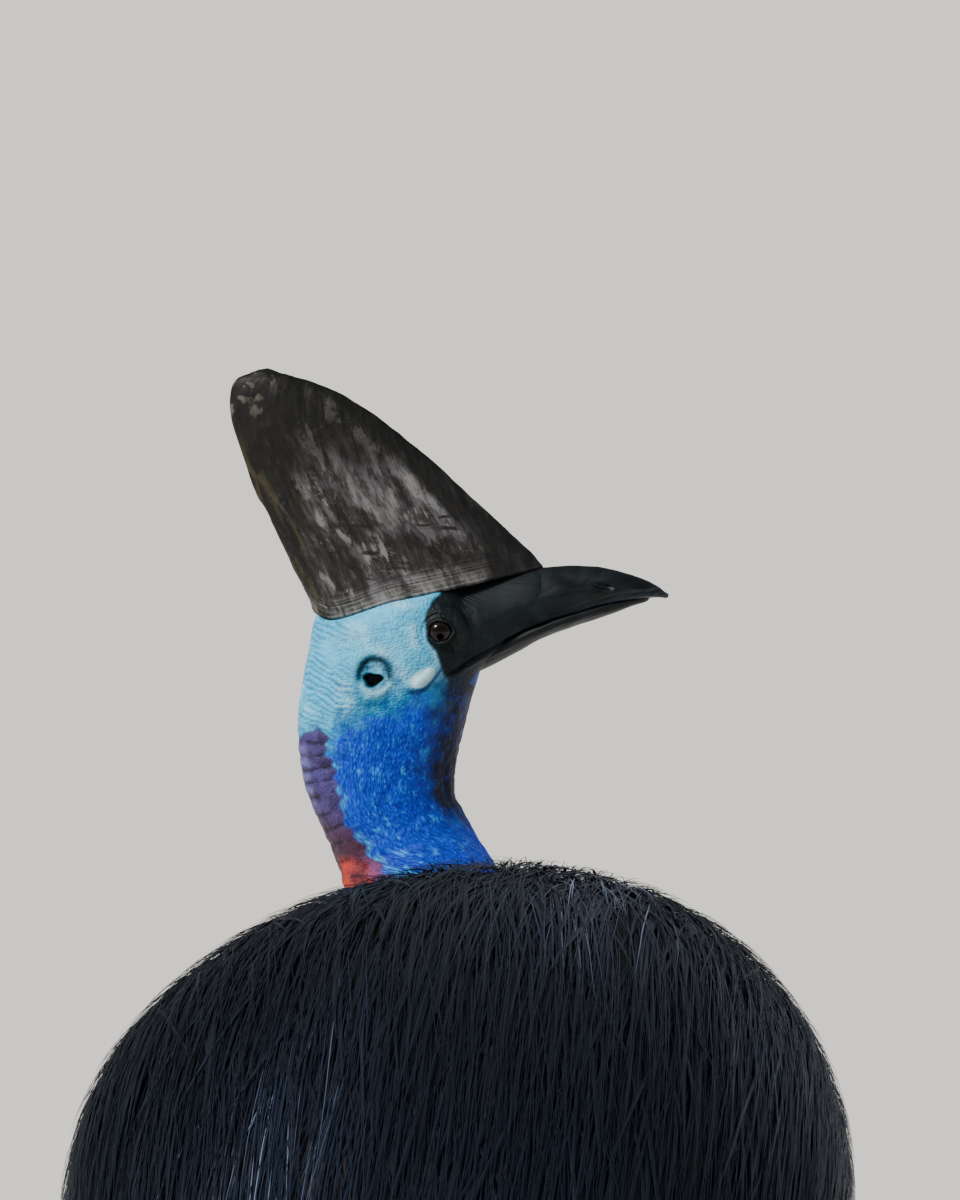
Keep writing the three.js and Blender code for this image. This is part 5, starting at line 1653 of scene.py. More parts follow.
    def build(self) -> Piece:
        """Builds the casque, cuts it at its rim and dresses it."""
        casque = self.blade()
        edit_all(casque)
        normal = HEAD_FORWARD * -self.rim_slope + UP
        bpy.ops.mesh.bisect(
            plane_co=head_to_bird(np.array(0.0), np.array(0.0), np.array(self.rim_height)) * MM + ROW_SHIFT,
            plane_no=unit(normal), use_fill=True, clear_inner=True,
        )
        bpy.ops.object.mode_set(mode="OBJECT")
        face_out(casque)
        p = places(casque)
        forward, left, up = bird_to_head(p)
        rise = self.above_rim(forward, up) - self.rim_drop(forward)
        p = p + DOWN * (self.rim_drop(forward) * (1 - smooth(rise, 0, 34)))[:, None]
        outward = normals(casque)
        bottom = rise < 0.05
        outward = np.where(bottom[:, None], np.sign(left)[:, None] * HEAD_LEFT, outward)
        put_places(casque, p + outward * self.relief(p)[:, None])
        p = places(casque)
        forward, left, up = bird_to_head(p)
        rear, _, _ = self.section(up)
        set_uv(casque, "Blade", np.stack([forward - rear, up], axis=1) * MM)
        set_attribute(casque, "rim", np.clip(self.above_rim(forward, up), 0, None) * MM)
        colour, wear = self.marking(p)
        set_colours(casque, "marking", colour)
        set_attribute(casque, "wear", wear)
        rounded(casque)
        dress(casque, CasqueHorn().make(), ("casque",))
        return casque


@dataclass
class Bill:
    """The bill's two halves, the lower tucked into the upper, with the nostrils."""

    upper_rows: Rows = (
        (30, -8, 29, 13.5), (46, -2.2, 34.3, 15.4), (62, 4.0, 36.4, 13.6), (77, 8.9, 37.4, 12),
        (91, 13.4, 36.8, 10.4), (103, 16.2, 34.2, 8.8), (115, 18.0, 30.6, 6.9), (125, 18.8, 26, 4.4),
        (132, 18.2, 21.6, 1.6),
    )
    lower_rows: Rows = (
        (16, -27, -13.0, 14.4), (30, -20.5, -6.2, 14.0), (44, -13, 0.2, 12.8), (58, -5.4, 5.6, 11.4),
        (73, 0.6, 10.4, 9.9), (88, 5.4, 14.8, 8.3), (101, 9.8, 18.0, 6.6), (112, 14, 19.6, 4.6),
        (121, 17, 20, 2.2),
    )
    nostril: tuple[float, float] = (94, 26.5)
    nasal_tilt: float = 0.16

    def half(self, name: str, node: str, rows: Rows, upper: bool) -> Piece:
        """One half of the bill."""
        shape = narrowing(0.45, 0.55) if upper else narrowing(0.35, 0.6, -1)
        piece = shaped_ball(name, lambda s, a: along_head(rows, s, a, 0.05, shape), 150, 96)
        p, n = places(piece), normals(piece)
        forward, left, up = bird_to_head(p)
        tomium = np.interp(forward, np.array(rows)[:, 0], np.array(rows)[:, 1 if upper else 2])
        near = up - tomium
        flat = np.stack([forward * 0.16, left * 0.4, up - 0.45 * forward], axis=1)
        lift = 0.14 * lattice_noise(flat, 1.6, 3) + 0.22 * lattice_noise(p, 9, 4)
        if upper:
            df = forward - self.nostril[0]
            du = up - self.nostril[1] + self.nasal_tilt * df
            lift += -0.8 * bell(du / 2.6, 1) * smooth(forward, 58, 84) * smooth(-forward, -116, -100)
            lift += -1.9 * (1 - smooth(np.hypot(df / 6.6, du / 1.7), 0.5, 1.15))
            lift += (-0.55 * bell(near - 4.4, 0.9) + 0.35 * bell(near - 2.2, 1.1)) * smooth(forward, 40, 56)
        put_places(piece, p + n * lift[:, None])
        set_uv(piece, "Bill", np.stack([forward, up - 0.45 * forward], axis=1) * MM)
        # where the painted highlight along the cutting edge lies
        worn = (bell(near - 1.4, 1.5) + 0.6 * bell(near - 5.4, 0.8)) * smooth(forward, 34, 60)
        set_attribute(piece, "edge", worn * (1 if upper else 0.3))
        set_attribute(piece, "base", 1 - smooth(forward, 56, 84))
        dress(piece, BillHorn().make(), (node,))
        return piece

    def build(self) -> list[Piece]:
        """Builds and dresses both halves."""
        return [
            self.half("bill_top", "bill_upper", self.upper_rows, True),
            self.half("bill_bottom", "bill_lower", self.lower_rows, False),
        ]


# Legs


@dataclass(frozen=True)
class Toe:
    """A toe: its turn from straight ahead, length, radius, claw and pads."""

    name: str
    turn: float
    length: float
    radius: float
    claw: float
    claw_radius: float
    pads: int

    def way(self, side: Side) -> Array:
        """The way that the toe points."""
        h = math.radians(self.turn) * side.value
        return np.array([math.sin(h), -math.cos(h), 0.0])

    def along(self, side: Side, root: Array, *distances: tuple[float, float]) -> Array:
        """Points at each (distance, height) along the toe."""
        return np.array([root * LEVEL + self.way(side) * s + UP * z for s, z in distances])

    def path(self, side: Side, root: Array) -> Array:
        """The toe's axis."""
        r, length = self.radius, self.length
        return self.along(
            side, root, (-8, 1.25 * r), (0.3 * length, 1.05 * r), (0.65 * length, 0.9 * r), (length, 0.74 * r)
        )

    def claw_path(self, side: Side, root: Array) -> Array:
        """The claw's axis."""
        r, length, reach = self.radius, self.length, self.claw
        return self.along(
            side, root,
            (length - 8, 0.78 * r), (length + 0.3 * reach, 0.78 * r + 1),
            (length + 0.68 * reach, 0.56 * r), (length + reach, 3.2),
        )


TOES = (
    Toe("inner", -27, 74, 15.5, 104, 9.5, 2),
    Toe("middle", 1, 138, 17, 48, 9, 4),
    Toe("outer", 31, 98, 14.5, 34, 7.5, 3),
)


@dataclass
class Leg:
    """A bare scaled leg with three toes, and their claws."""

    side: Side
    voxel: float = 2.3
    scute: float = 17.0
    heel: tuple[float, float, float] = (22, 26, 19)
    girth: float = 24.0  # the radius on which the leg's skin is laid out flat
    samples: int = 220  # places along each tube that a point is compared with

    def tubes(self) -> list[tuple[Array, Halves]]:
        """The axes of leg and toes, with their half sizes by share."""
        shape = LegShape(self.side)
        widths, depths = np.array(shape.shank_widths), np.array(shape.shank_depths)
        found = [(shape.shank_path(), lambda t: (through(widths, t * 5), through(depths, t * 5)))]
        root = np.array(shape.station("sole"))
        for toe in TOES:

            def half(t: Array, toe: Toe = toe) -> tuple[Array, Array]:
                size = toe.radius * mix(1.12, 0.68, t) * (1 + 0.1 * np.cos(TURN * toe.pads * t))
                return size, size * 0.95

            found.append((toe.path(self.side, root), half))
        return found

    def form(self) -> Piece:
        """Leg, heel and toes as one even mesh."""
        shape = LegShape(self.side)
        pieces = []
        for number, (path, half) in enumerate(self.tubes()):

            def place(share: Array, angle: Array) -> Array:
                centre, _, across, upward = path_frame(path, share, np.array([1.0, 0.2 * (number == 3), 0]))
                width, depth = half(share)
                fade = rounded_ends(share, 0.05 if number == 0 else 0.12)
                return oval(centre, angle, width, across, depth, upward, fade)

            pieces.append(shaped_ball("leg_form", place, 60, 40))
        sole = np.array(shape.station("sole"))

        def heel(share: Array, angle: Array) -> Array:
            ball = np.stack(ball_parts(share, angle), axis=1)
            return sole * LEVEL + np.array([0, 6, 17]) + ball * np.array(self.heel)

        pieces.append(shaped_ball("heel_form", heel, 20, 32))
        form = joined(f"leg_skin_{self.side.label}", pieces)
        apply(form, "REMESH", mode="VOXEL", voxel_size=self.voxel * MM, use_smooth_shade=True)
        apply(form, "SMOOTH", factor=0.5, iterations=5)
        return form

    def locate(self, p: Array) -> tuple[Array, Array, Array, Array]:
        """Which tube each point belongs to, with its share, its length along and its angle from the top."""
        best = np.full(len(p), 1e9)
        found = [np.zeros(len(p)) for _ in range(4)]
        for number, (path, half) in enumerate(self.tubes()):
            shares = np.linspace(0, 1, self.samples)
            centre, _, across, upward = path_frame(path, shares, ACROSS)
            length = np.concatenate([[0], np.cumsum(np.linalg.norm(np.diff(centre, axis=0), axis=1))])
            width = half(shares)[0]
            for rows in parts(len(p)):
                away = p[rows, None, :] - centre[None]
                gap = np.linalg.norm(away, axis=2) - width[None]
                near = np.argmin(gap, axis=1)
                least = gap[np.arange(len(near)), near]
                nearer = least < best[rows]
                arm = away[np.arange(len(near)), near]
                angle = np.arctan2(np.sum(arm * across[near], axis=1), np.sum(arm * upward[near], axis=1))
                values = np.full(len(near), number), shares[near], length[near], angle
                for store, value in zip(found, values):
                    store[rows] = np.where(nearer, value, store[rows])
                best[rows] = np.where(nearer, least, best[rows])
        return tuple(found)

    def build(self) -> Piece:
        """Builds and dresses the leg's skin."""
        leg = self.form()
        p, n = places(leg), normals(leg)
        tube, share, along, angle = self.locate(p)
        front = smooth(np.cos(angle), 0.05, 0.5)
        shank = tube == 0
        on_shank = smooth(share, 0.42, 0.48) * smooth(-share, -0.93, -0.88)
        there = np.where(shank, on_shank, smooth(share, 0.05, 0.2))
        spacing = np.where(shank, self.scute, self.scute * 0.62)
        step = (along / spacing + 0.08 * lattice_noise(p, 30, 2)) % 1
        grooved = 1 - bell(np.minimum(step, 1 - step), 0.07)
        plate = there * front * grooved * (0.55 + 0.45 * (1 - step))
        flat = np.stack([angle * self.girth, along, np.zeros_like(along)], axis=1)
        small = cell_bumps(flat, (5.2, 5.2, 100), 3)
        hock = bell(share - 0.4, 0.05) * shank
        pads = smooth(-p[:, 2], -9, -3)
        height = 1.9 * plate + 0.9 * small * (1 - front * there) * (1 - pads) + 0.7 * layered_noise(p, 16, 5)
        height += 0.5 * hock * layered_noise(p, 6, 8) + 0.5 * pads * cell_bumps(p, 3.4, 4)
        p = p + n * height[:, None]
        p[:, 2] = np.maximum(p[:, 2], 0)
        put_places(leg, p)
        set_uv(leg, "Leg", np.stack([angle * self.girth, along + 500 * tube], axis=1) * MM)
        set_attribute(leg, "plate", plate)
        dress(leg, LegScale().make(), (f"shank_{self.side.label}", f"foot_{self.side.label}"))
        return leg

    def build_claws(self) -> Piece:
        """Builds and dresses the three claws of the foot."""
        root = np.array(LegShape(self.side).station("sole"))
        pieces = []
        for toe in TOES:

            def half(t: Array, toe: Toe = toe) -> tuple[Array, Array]:
                return toe.claw_radius * 0.84 * (1 - 0.9 * t), toe.claw_radius * (1 - 0.9 * t)

            aside = np.cross(UP, toe.way(self.side))
            claw = tube_along("claw", toe.claw_path(self.side, root), half, 60, 32, 0.06, aside)
            start = toe.claw_path(self.side, root)[0]
            p = places(claw)
            set_attribute(claw, "along", np.clip((p - start) @ toe.way(self.side) / (toe.claw + 8), 0, 1))
            p[:, 2] = np.maximum(p[:, 2], 0.3)
            put_places(claw, p)
            pieces.append(claw)
        claws = joined(f"claws_{self.side.label}", pieces)
        nodes = tuple(f"claw_{toe.name}_{self.side.label}" for toe in TOES)
        dress(claws, CLAW_HORN.make(), nodes)
        return claws


# Wings


@dataclass
class Wing:
    """The stub of a wing and the bare quills that droop from it over the flank."""

    side: Side
    quills: int = 5
    stub: Rows = ((-215, 800, 42), (-165, 792, 30), (-105, 772, 22), (-70, 756, 20))

    def on_flank(self, y: Array, z: Array, depth: Array) -> Array:
        """Points of the flank at a depth under the coat's tips."""
        y, z, depth = (np.atleast_1d(np.asarray(v, float)) for v in (y, z, depth))
        qy = (y - TORSO.middle) / (TORSO.half_length - depth)
        qz = np.maximum(z - TORSO.axis_height(y), 0) / (TORSO.top_rise - depth)
        qx = self.side.value * np.sqrt(np.maximum(1 - qy**2 - qz**2, 0.01))
        ways = np.stack([qx, qy, qz], axis=1)
        points = np.concatenate([TORSO.point(way[None], deep) for way, deep in zip(ways, depth)])
        points[:, 2] = z
        return points

    def quill(self, number: int) -> Piece:
        """One bare quill."""
        share = number / (self.quills - 1)
        fall, length = math.radians(mix(8, 52, share)), mix(320, 200, share)
        y, z = mix(-98, -125, share), mix(775, 757, share)
        s = np.linspace(0, 1, 7)
        drop = s * length * np.sin(fall + 0.35 * s)
        path = self.on_flank(y + s * length * math.cos(fall), z - drop, mix(18.0, -8.0, smooth(s, 0, 0.3)))
        aside = np.array([float(self.side.value), 0, 0])
        piece = tube_along("quill", path, lambda t: (2.8 * (1 - 0.78 * t),) * 2, 60, 10, 0.02, aside)
        start, end = path[0, 1], path[-1, 1]
        set_attribute(piece, "along", np.clip((places(piece)[:, 1] - start) / (end - start), 0, 1))
        return piece

    def build(self) -> Piece:
        """Builds and dresses the wing."""
        path = np.concatenate([self.on_flank(y, z, depth) for y, z, depth in self.stub])
        aside = np.array([float(self.side.value), 0, 0])

        def half(share: Array) -> tuple[Array, Array]:
            return 13 * (1 - 0.45 * share), 22 * (1 - 0.5 * share)

        stub = tube_along("wing_stub", path, half, 30, 24, 0.15, aside)
        set_attribute(stub, "along", np.zeros(len(stub.data.vertices)))
        wing = joined(f"quills_{self.side.label}", [stub, *(self.quill(i) for i in range(self.quills))])
        dress(wing, QUILL_HORN.make(), (f"wing_{self.side.label}",))
        return wing


# Feathers


@dataclass
class Strands:
    """Many strands of a coat, kept as arrays until they become one mesh.

    The arrays hold, per strand: its points, the way off the body at each point, its root's place on the
    unwrapped skin, its width and its tone.
    """

    points: Array
    away: Array
    root: Array
    width: Array
    tone: Array
    softness: float = 0.55  # how far the normals lean to the body's own, which gives silk and not wire

    def take(self, which: Array) -> "Strands":
        """Some of the strands."""
        chosen = (values[which] for values in (self.points, self.away, self.root, self.width, self.tone))
        return Strands(*chosen)

    def waved(self, rng: np.random.Generator, height: float, length: float) -> None:
        """Bends every strand in gentle waves beside its course."""
        course = np.gradient(self.points, axis=1)
        beside = unit(np.cross(course, self.away))
        run = np.cumsum(np.linalg.norm(course, axis=2), axis=1)
        phase = rng.uniform(0, TURN, (len(run), 1))
        pace = rng.uniform(0.75, 1.35, (len(run), 1))
        size = height * rng.uniform(0.3, 1.0, (len(run), 1)) * np.linspace(0, 1, run.shape[1]) ** 0.7
        self.points += beside * (size * np.sin(TURN * run * pace / length + phase))[:, :, None]

    def clumped(self, rng: np.random.Generator, group: int, pull: float) -> None:
        """Draws the tips of neighbouring strands together."""
        count = len(self.points)
        guides = rng.choice(count, max(count // group, 1), replace=False)
        where = self.points[guides, 0]
        nearest = np.empty(count, int)
        for rows in parts(count, 4000):
            gap = np.linalg.norm(self.points[rows, 0][:, None] - where[None], axis=2)
            nearest[rows] = guides[np.argmin(gap, axis=1)]
        share = pull * rng.uniform(0.4, 1.3, (count, 1)) * np.linspace(0, 1, self.points.shape[1]) ** 1.3
        share = np.clip(share, 0, 0.85)[:, :, None]
        lift = rng.uniform(-1.6, 1.2, (count, 1, 1)) * self.away
        self.points += (self.points[nearest] + lift - self.points) * share
        self.tone = np.clip(mix(self.tone, self.tone[nearest], 0.5), 0, 1)

    def mesh(self, name: str) -> Piece:
        """Makes one mesh of closed, three-sided strands that taper to their tips."""
        count, last = self.points.shape[0], self.points.shape[1] - 1
        share = np.linspace(0, 1, last + 1)
        course = unit(np.gradient(self.points, axis=1))
        beside = unit(np.cross(course, self.away))
        up = unit(np.cross(beside, course))
        swell = 0.25 + 0.75 * np.sin(np.clip(share * 2.6 + 0.1, 0, 1) * math.pi / 2)
        half = (self.width[:, None] / 2 * swell * (1 - share**2.2) ** 0.8)[:, :, None]
        left = self.points - beside * half - up * half * 0.16
        right = self.points + beside * half - up * half * 0.16
        ridge = self.points + up * half * 0.34
        rings = np.stack([left, ridge, right], axis=2)[:, :last]
        per = last * 3 + 1
        verts = np.concatenate([rings.reshape(count, -1, 3), self.points[:, last:]], axis=1).reshape(-1, 3)
        faces, sizes = [[2, 1, 0]], [3]
        for k in range(last - 1):
            for a in range(3):
                b = (a + 1) % 3
                faces.append([3 * k + b, 3 * k + 3 + b, 3 * k + 3 + a, 3 * k + a])
                sizes.append(4)
        for a in range(3):
            faces.append([3 * (last - 1) + (a + 1) % 3, per - 1, 3 * (last - 1) + a])
            sizes.append(3)
        loops = np.array([i for face in faces for i in face])
        data = bpy.data.meshes.new(name)
        data.vertices.add(count * per)
        data.vertices.foreach_set("co", (verts * MM + ROW_SHIFT).ravel().astype(np.float32))
        all_loops = (np.arange(count)[:, None] * per + loops[None]).ravel()
        all_sizes = np.tile(np.array(sizes), count)
        data.loops.add(len(all_loops))
        data.loops.foreach_set("vertex_index", all_loops.astype(np.int32))
        data.polygons.add(len(all_sizes))
        starts = np.concatenate([[0], np.cumsum(all_sizes)[:-1]])
        data.polygons.foreach_set("loop_start", starts.astype(np.int32))
        data.polygons.foreach_set("use_smooth", np.ones(len(all_sizes), bool))
        data.update(calc_edges=True)
        piece = bpy.data.objects.new(name, data)
        bpy.context.collection.objects.link(piece)
        levels = np.concatenate([np.repeat(share[:last], 3), [1.0]])
        set_attribute(piece, "along", np.tile(levels, count))
        set_attribute(piece, "strand", np.repeat(self.tone, per))
        across = np.concatenate([np.tile([0.0, 0.5, 1.0], last), [0.5]])
        patch = np.stack([np.tile(across, count), np.tile(levels, count)], axis=1) * 0.003
        set_uv(piece, "OFBake", np.repeat(self.root, per, axis=0) + patch)
        own = np.stack([-0.9 * beside - 0.4 * up, up, 0.9 * beside - 0.4 * up], axis=2)[:, :last]
        soft = unit(mix(own, self.away[:, :last, None], self.softness)).reshape(count, -1, 3)
        turned_out = np.concatenate([soft, self.away[:, last:]], axis=1).reshape(-1, 3)
        data.normals_split_custom_set_from_vertices(turned_out)
        return piece


@dataclass
class Coat:
    """The hair-like plumage of body, foot of the neck and thighs."""

    body_strands: int = 39000
    broad_share: float = 0.24
    stray_share: float = 0.008
    whorl_strands: int = 900  # strands that start before the point from which the lie spreads and cover it
    collar_strands: int = 15000
    plumage_line: float = 1.42  # the station of the neck at which the feathers end
    thigh_strands: int = 2300
    body_pieces: int = 8
    down_depth: float = 11.5  # how deep the down lies under the tips of the coat
    low_depth: float = 27.0  # and how deep near the neck and under the belly
    points: int = 6
    # where the painted sheen lies on the coat: x, z, width, height and lean
    sheen_patches: Rows = ((75, 838, 42, 54, -0.5), (-100, 956, 66, 24, -0.3))

    def body_paths(
        self, polar: Array, around: Array, length: Array, rise: Array, drift: Array
    ) -> tuple[Array, Array]:
        """Courses that follow the lie of the coat backwards from the neck and hang on the flanks.

        Args:
            polar: angles of the roots from the foot of the neck.
            around: angles of the roots round the lie.
            length: lengths of the strands.
            rise: how far out each strand lies, from 0 deep in the coat to 1 at its surface.
            drift: how each strand turns off the lie.

        Returns:
            The points of each strand, and the way off the body at each.
        """
        angle, heading = polar.copy(), around.copy()
        points, away = [], []
        step = length / (self.points - 1)
        deep = mix(31.0, 6.0, rise**0.7 * (1 - 0.75 * smooth(polar, 1.2, 2.0)))
        for k in range(self.points):
            share = k / (self.points - 1)
            depth = mix(deep, mix(17, 1.5, rise), 1 - (1 - share) ** mix(1.3, 2.2, rise))
            q = TORSO.direction(angle, heading)
            on = TORSO.point(q, depth)
            here = on
            if k > 1:
                course = unit(on - points[-1])
                hanging = q[:, 2] < -0.3
                down = unit(mix(course, DOWN, 0.55)) * step[:, None]
                here = np.where(hanging[:, None], points[-1] + down, on)
            points.append(here)
            away.append(TORSO.outward(here))
            ahead = TORSO.point(TORSO.direction(angle + 0.02, heading), depth)
            pace = np.maximum(np.linalg.norm(ahead - on, axis=1), 1e-3)
            angle = np.minimum(angle + 0.02 * step / pace, math.pi - 0.06)
            heading = heading + drift / np.maximum(np.sin(angle), 0.3)
        return np.stack(points, axis=1), np.stack(away, axis=1)

    def sheen(self, p: Array) -> Array:
        """Where painted light lies on the coat, as a blue-grey sheen in the strands' colour, from 0 to 1."""
        total = np.zeros(len(p))
        for x, z, wide, high, lean in self.sheen_patches:
            dx, dz = p[:, 0] - x, p[:, 2] - z
            total += bell(np.hypot((dx - lean * dz) / wide, dz / high), 1.0) * (p[:, 1] > 0)
        return np.clip(total * (0.75 + 0.6 * layered_noise(p / np.array([1, 1, 3.5]), 16, 79)), 0, 1)

    def body(self, rng: np.random.Generator) -> Strands:
        """The strands of the body, evenly spread over its skin."""
        tries = self.body_strands * 6
        ball = unit(rng.normal(size=(tries, 3)))
        pole = unit(np.array(TORSO.lie_pole, float))
        upward = unit(np.cross(pole, ACROSS))
        polar = np.arccos(np.clip(-ball @ pole, -1, 1))
        around = np.arctan2(ball[:, 0], ball @ upward)
        dense = TORSO.crowding(ball)
        dense = dense / dense.max() * mix(1.0, 0.62, smooth(-ball[:, 2], 0.1, 0.6))
        kept = (rng.random(tries) < dense) & (polar > 0.1) & (polar < 2.78)
        chosen = np.flatnonzero(kept)[: self.body_strands - self.whorl_strands]
        over = rng.uniform(-0.34, 0.12, self.whorl_strands)
        polar = np.concatenate([polar[chosen], over])
        around = np.concatenate([around[chosen], rng.uniform(-1.5, 1.5, self.whorl_strands)])
        count = len(polar)
        LOG.info("body strands: %d", count)
        base = mix(112, 225, np.clip((polar - 0.4) / 1.5, 0, 1))
        length = base * rng.uniform(0.55, 1.05, count)
        length[len(chosen) :] *= 1.15
        broad = rng.random(count) < self.broad_share
        rise = np.where(broad, rng.uniform(0.3, 0.86, count), rng.beta(2.2, 1.0, count))
        drift = rng.normal(0, 0.012, count) * np.where(broad, 2.4, 1)
        points, away = self.body_paths(polar, around, length, rise, drift)
        root = np.stack([(around / TURN) % 1 * 0.99, np.abs(polar) / math.pi * 0.99], axis=1)
        width = np.where(broad, rng.uniform(3.0, 4.4, count), rng.uniform(0.55, 0.92, count))
        width = width * mix(0.55, 1, smooth(polar, 0.3, 0.9))
        # glossy: broad patches that vary the strands' tone at random and lift some towards the painted sheen
        glossy = 0.5 + 0.5 * layered_noise(points[:, 0], 90, 77)
        shade = np.clip(0.3 * rng.random(count) + 0.42 * glossy + 0.8 * self.sheen(points[:, 3]), 0, 1)
        shade = np.where(broad, 0.4 * shade, shade)
        strands = Strands(points, away, root, width, shade)
        far = smooth(polar, 0.25, 1.1)[:, None]
        strands.clumped(rng, 18, 0.28 * far)
        strands.waved(rng, mix(0.4, 1.4, far), 130)
        stray = (rng.random(count) < self.stray_share) & ~broad
        lift = stray[:, None] * rng.uniform(1, 4, (count, 1)) * np.linspace(0, 1, self.points)
        strands.points += away * lift[:, :, None]
        return strands

    def collar(self, rng: np.random.Generator) -> Strands:
        """Short velvety strands at the plumage line, longer towards the body, that lie along the coat."""
        count, points_each = self.collar_strands, self.points - 2
        u = self.plumage_line - 1.3 * rng.random(count) ** 1.5
        turn = rng.uniform(-math.pi, math.pi, count)
        u = u + 0.012 * lattice_noise(np.stack([turn * 9, turn * 0, turn * 0], axis=1), 2.0, 4)
        below = self.plumage_line - u
        reach = np.minimum(mix(0.1, 0.62, smooth(below, 0.0, 0.85)) * rng.uniform(0.6, 1.1, count), u + 0.35)
        broad = rng.random(count) < 0.18
        layer = np.where(broad, rng.uniform(0.35, 0.85, count), 1 - 0.7 * rng.random(count) ** 1.7)
        drift = rng.normal(0, 0.02, count)
        points, away = [], []
        for k in range(points_each):
            share = k / (points_each - 1)
            here = u - reach * share
            ring = NECK.ring(here)
            thick = mix(42, 11, smooth(here, 0, 1.35)) - 2.5
            grown = smooth(self.plumage_line - here, 0, 0.42) ** 0.9 * mix(0.8, 1.0, share)
            angle = turn + drift * share
            points.append(NECK.point(here, angle, -0.6 + thick * layer * grown))
            away.append(unit(np.sin(angle)[:, None] * ring["across"] + np.cos(angle)[:, None] * ring["nape"]))
        root = np.stack([(turn / TURN) % 1 * 0.99, (u + 0.5) / 2.1 * 0.99], axis=1)
        width = mix(0.36, 0.66, smooth(below, 0, 0.7)) * rng.uniform(0.8, 1.2, count)
        width = width * np.where(broad, mix(1, 4.6, smooth(below, 0, 0.5)), 1)
        shade = rng.uniform(0, 0.6, count)
        strands = Strands(np.stack(points, axis=1), np.stack(away, axis=1), root, width, shade)
        strands.waved(rng, 0.3, 90)
        return strands

    def down(self) -> Piece:
        """The dense down under the body's long feathers, which closes the view between them with a near-black
        sheet that also stands in for the shade deep in the coat.
        """
        pole = unit(np.array(TORSO.lie_pole, float))

        def place(share: Array, angle: Array) -> Array:
            across, upward, along = ball_parts(share, angle)
            q = np.stack([across, along, upward], axis=1)
            polar = np.arccos(np.clip(-q @ pole, -1, 1))
            open_at = np.maximum(1 - smooth(polar, 0.25, 0.7), smooth(-q[:, 2], 0.15, 0.5))
            p = TORSO.point(q, mix(self.down_depth, self.low_depth, open_at))
            return p + TORSO.outward(p) * (0.8 * layered_noise(p, 14, 95))[:, None]

        piece = shaped_ball("plumage_down", place, 70, 96)
        piece.data.uv_layers[0].name = "OFBake"
        dress(piece, UnderCoat().make())
        return piece

    def thigh(self, side: Side, rng: np.random.Generator) -> Strands:
        """The feathers of one thigh, down to the bare leg."""
        shape, count = LegShape(side), self.thigh_strands
        t = 0.1 + 0.5 * rng.random(count)
        turn = rng.uniform(-math.pi, math.pi, count)
        reach = rng.uniform(0.17, 0.27, count)
        lift = rng.uniform(0.2, 1.0, count)
        drift = rng.normal(0, 0.08, count)
        points, away = [], []
        for k in range(self.points):
            share = k / (self.points - 1)
            here = np.minimum(t + reach * share, 0.86)
            off = mix(-5.0, mix(-2, 7, lift), share**0.7)
            points.append(shape.thigh_point(here, turn + drift * share, off))
            away.append(unit(points[-1] - shape.thigh_point(here, turn + drift * share, -20)))
        root = np.stack([(turn / TURN) % 1 * 0.99, t], axis=1)
        broad = rng.random(count) < 0.3
        width = np.where(broad, rng.uniform(3.0, 4.2, count), rng.uniform(1.1, 1.5, count))
        shade = rng.uniform(0, 0.8, count)
        strands = Strands(np.stack(points, axis=1), np.stack(away, axis=1), root, width, shade)
        strands.clumped(rng, 12, 0.35)
        strands.waved(rng, 1.8, 80)
        return strands

    def build(self) -> list[Piece]:
        """Builds and dresses the whole coat."""
        rng = np.random.default_rng(SEED)
        finish = Plumage().make()
        body = self.body(rng)
        order = np.array_split(np.argsort(body.root[:, 0]), self.body_pieces)
        made = [body.take(which).mesh(f"plumage_{number}") for number, which in enumerate(order)]
        collar = self.collar(rng)
        order = np.array_split(np.argsort(collar.root[:, 0]), 2)
        made += [collar.take(which).mesh(f"plumage_collar_{number}") for number, which in enumerate(order)]
        made += [self.thigh(side, rng).mesh(f"plumage_thigh_{side.label}") for side in Side]
        for piece in made:
            dress(piece, finish)
        return [*made, self.down()]


# The studio


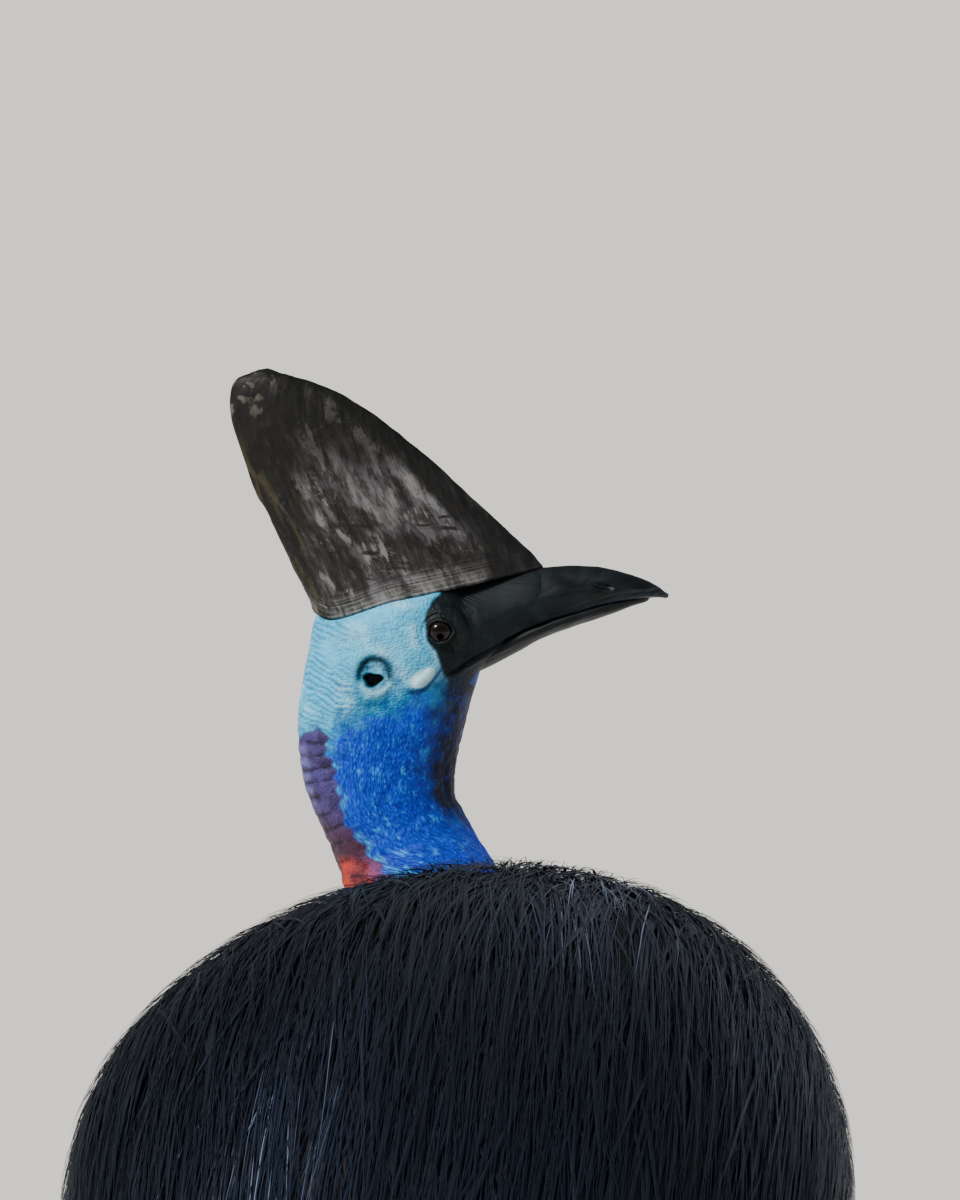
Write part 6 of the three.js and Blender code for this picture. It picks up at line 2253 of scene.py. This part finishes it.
@dataclass
class Studio:
    """A pale floor, soft lights, and the camera where the photo's stood."""

    azimuth: float = 184
    elevation: float = 5
    distance: float = 6.45
    lens: float = 334.8
    pixel: float = 0.000578  # metres at the head that one pixel of the photo shows
    aim: tuple[float, float] = (40, 30)  # the picture's middle, in pixels right of and above the eye
    floor_size: float = 180
    key: float = 4.6
    key_from: tuple[float, float, float] = (0.75, 0.75, 1.0)
    sky: float = 0.4
    back_from: tuple[float, float, float] = (-2.4, -3.0, 2.6)
    back_to: tuple[float, float, float] = (0.0, -0.3, 0.95)

    def lamp(
        self, kind: str, name: str, way: Vector, at: tuple[float, float, float], **settings: object
    ) -> None:
        """A lamp whose light comes from the side that way points to."""
        deselect()
        bpy.ops.object.light_add(type=kind, location=at)
        lamp = bpy.context.object
        lamp.name = name
        for key, value in settings.items():
            setattr(lamp.data, key, value)
        lamp.rotation_euler = way.to_track_quat("Z", "Y").to_euler()

    def camera(self) -> None:
        """Sets the camera by the eye's place in the photo."""
        azimuth, elevation = math.radians(self.azimuth), math.radians(self.elevation)
        level = math.cos(elevation)
        toward = np.array([math.sin(azimuth) * level, -math.cos(azimuth) * level, math.sin(elevation)])
        right = unit(np.cross(UP, toward))
        above = np.cross(toward, right)
        aside, over = self.aim
        at = EYES_IN_ROW + right * aside * self.pixel + above * over * self.pixel + toward * self.distance
        deselect()
        bpy.ops.object.camera_add(location=at)
        camera = bpy.context.object
        camera.data.lens = self.lens
        camera.data.sensor_fit = "VERTICAL"
        camera.data.sensor_height = 36
        camera.data.clip_end = 200
        camera.rotation_euler = Matrix((right, above, toward)).transposed().to_euler()
        bpy.context.scene.camera = camera

    def build(self) -> None:
        """Sets up floor, world, lights and camera."""
        deselect()
        bpy.ops.mesh.primitive_plane_add(size=self.floor_size)
        floor = bpy.context.object
        floor.name = "studio_floor"
        pale = Recipe("floor_pale").finish(Base_Color="#f0efec", Roughness=0.95, Specular_IOR_Level=0.1)
        floor.data.materials.append(pale)
        world = bpy.data.worlds.new("studio_world")
        world.use_nodes = True
        sky = world.node_tree.nodes["Background"].inputs
        sky["Color"].default_value, sky["Strength"].default_value = linear("#e4e8ee"), self.sky
        bpy.context.scene.world = world
        self.lamp(
            "SUN", "key_sun", Vector(self.key_from), (0, 0, 0),
            energy=self.key, angle=math.radians(16), color=linear("#fffaf0")[:3],
        )
        self.lamp(
            "AREA", "back", Vector(self.back_from) - Vector(self.back_to), self.back_from,
            shape="SQUARE", size=2.0, energy=13, color=linear("#dfe9ff")[:3],
        )
        self.camera()


def main() -> None:
    """Builds the bird from the inside out and sets the studio."""
    logging.basicConfig(level=logging.INFO, format="%(name)s: %(message)s")
    Skin().build()
    for side in Side:
        Eye(side).build()
    Casque().build()
    Bill().build()
    for side in Side:
        leg = Leg(side)
        leg.build()
        leg.build_claws()
        Wing(side).build()
    Coat().build()
    Studio().build()


if __name__ == "__main__":
    main()
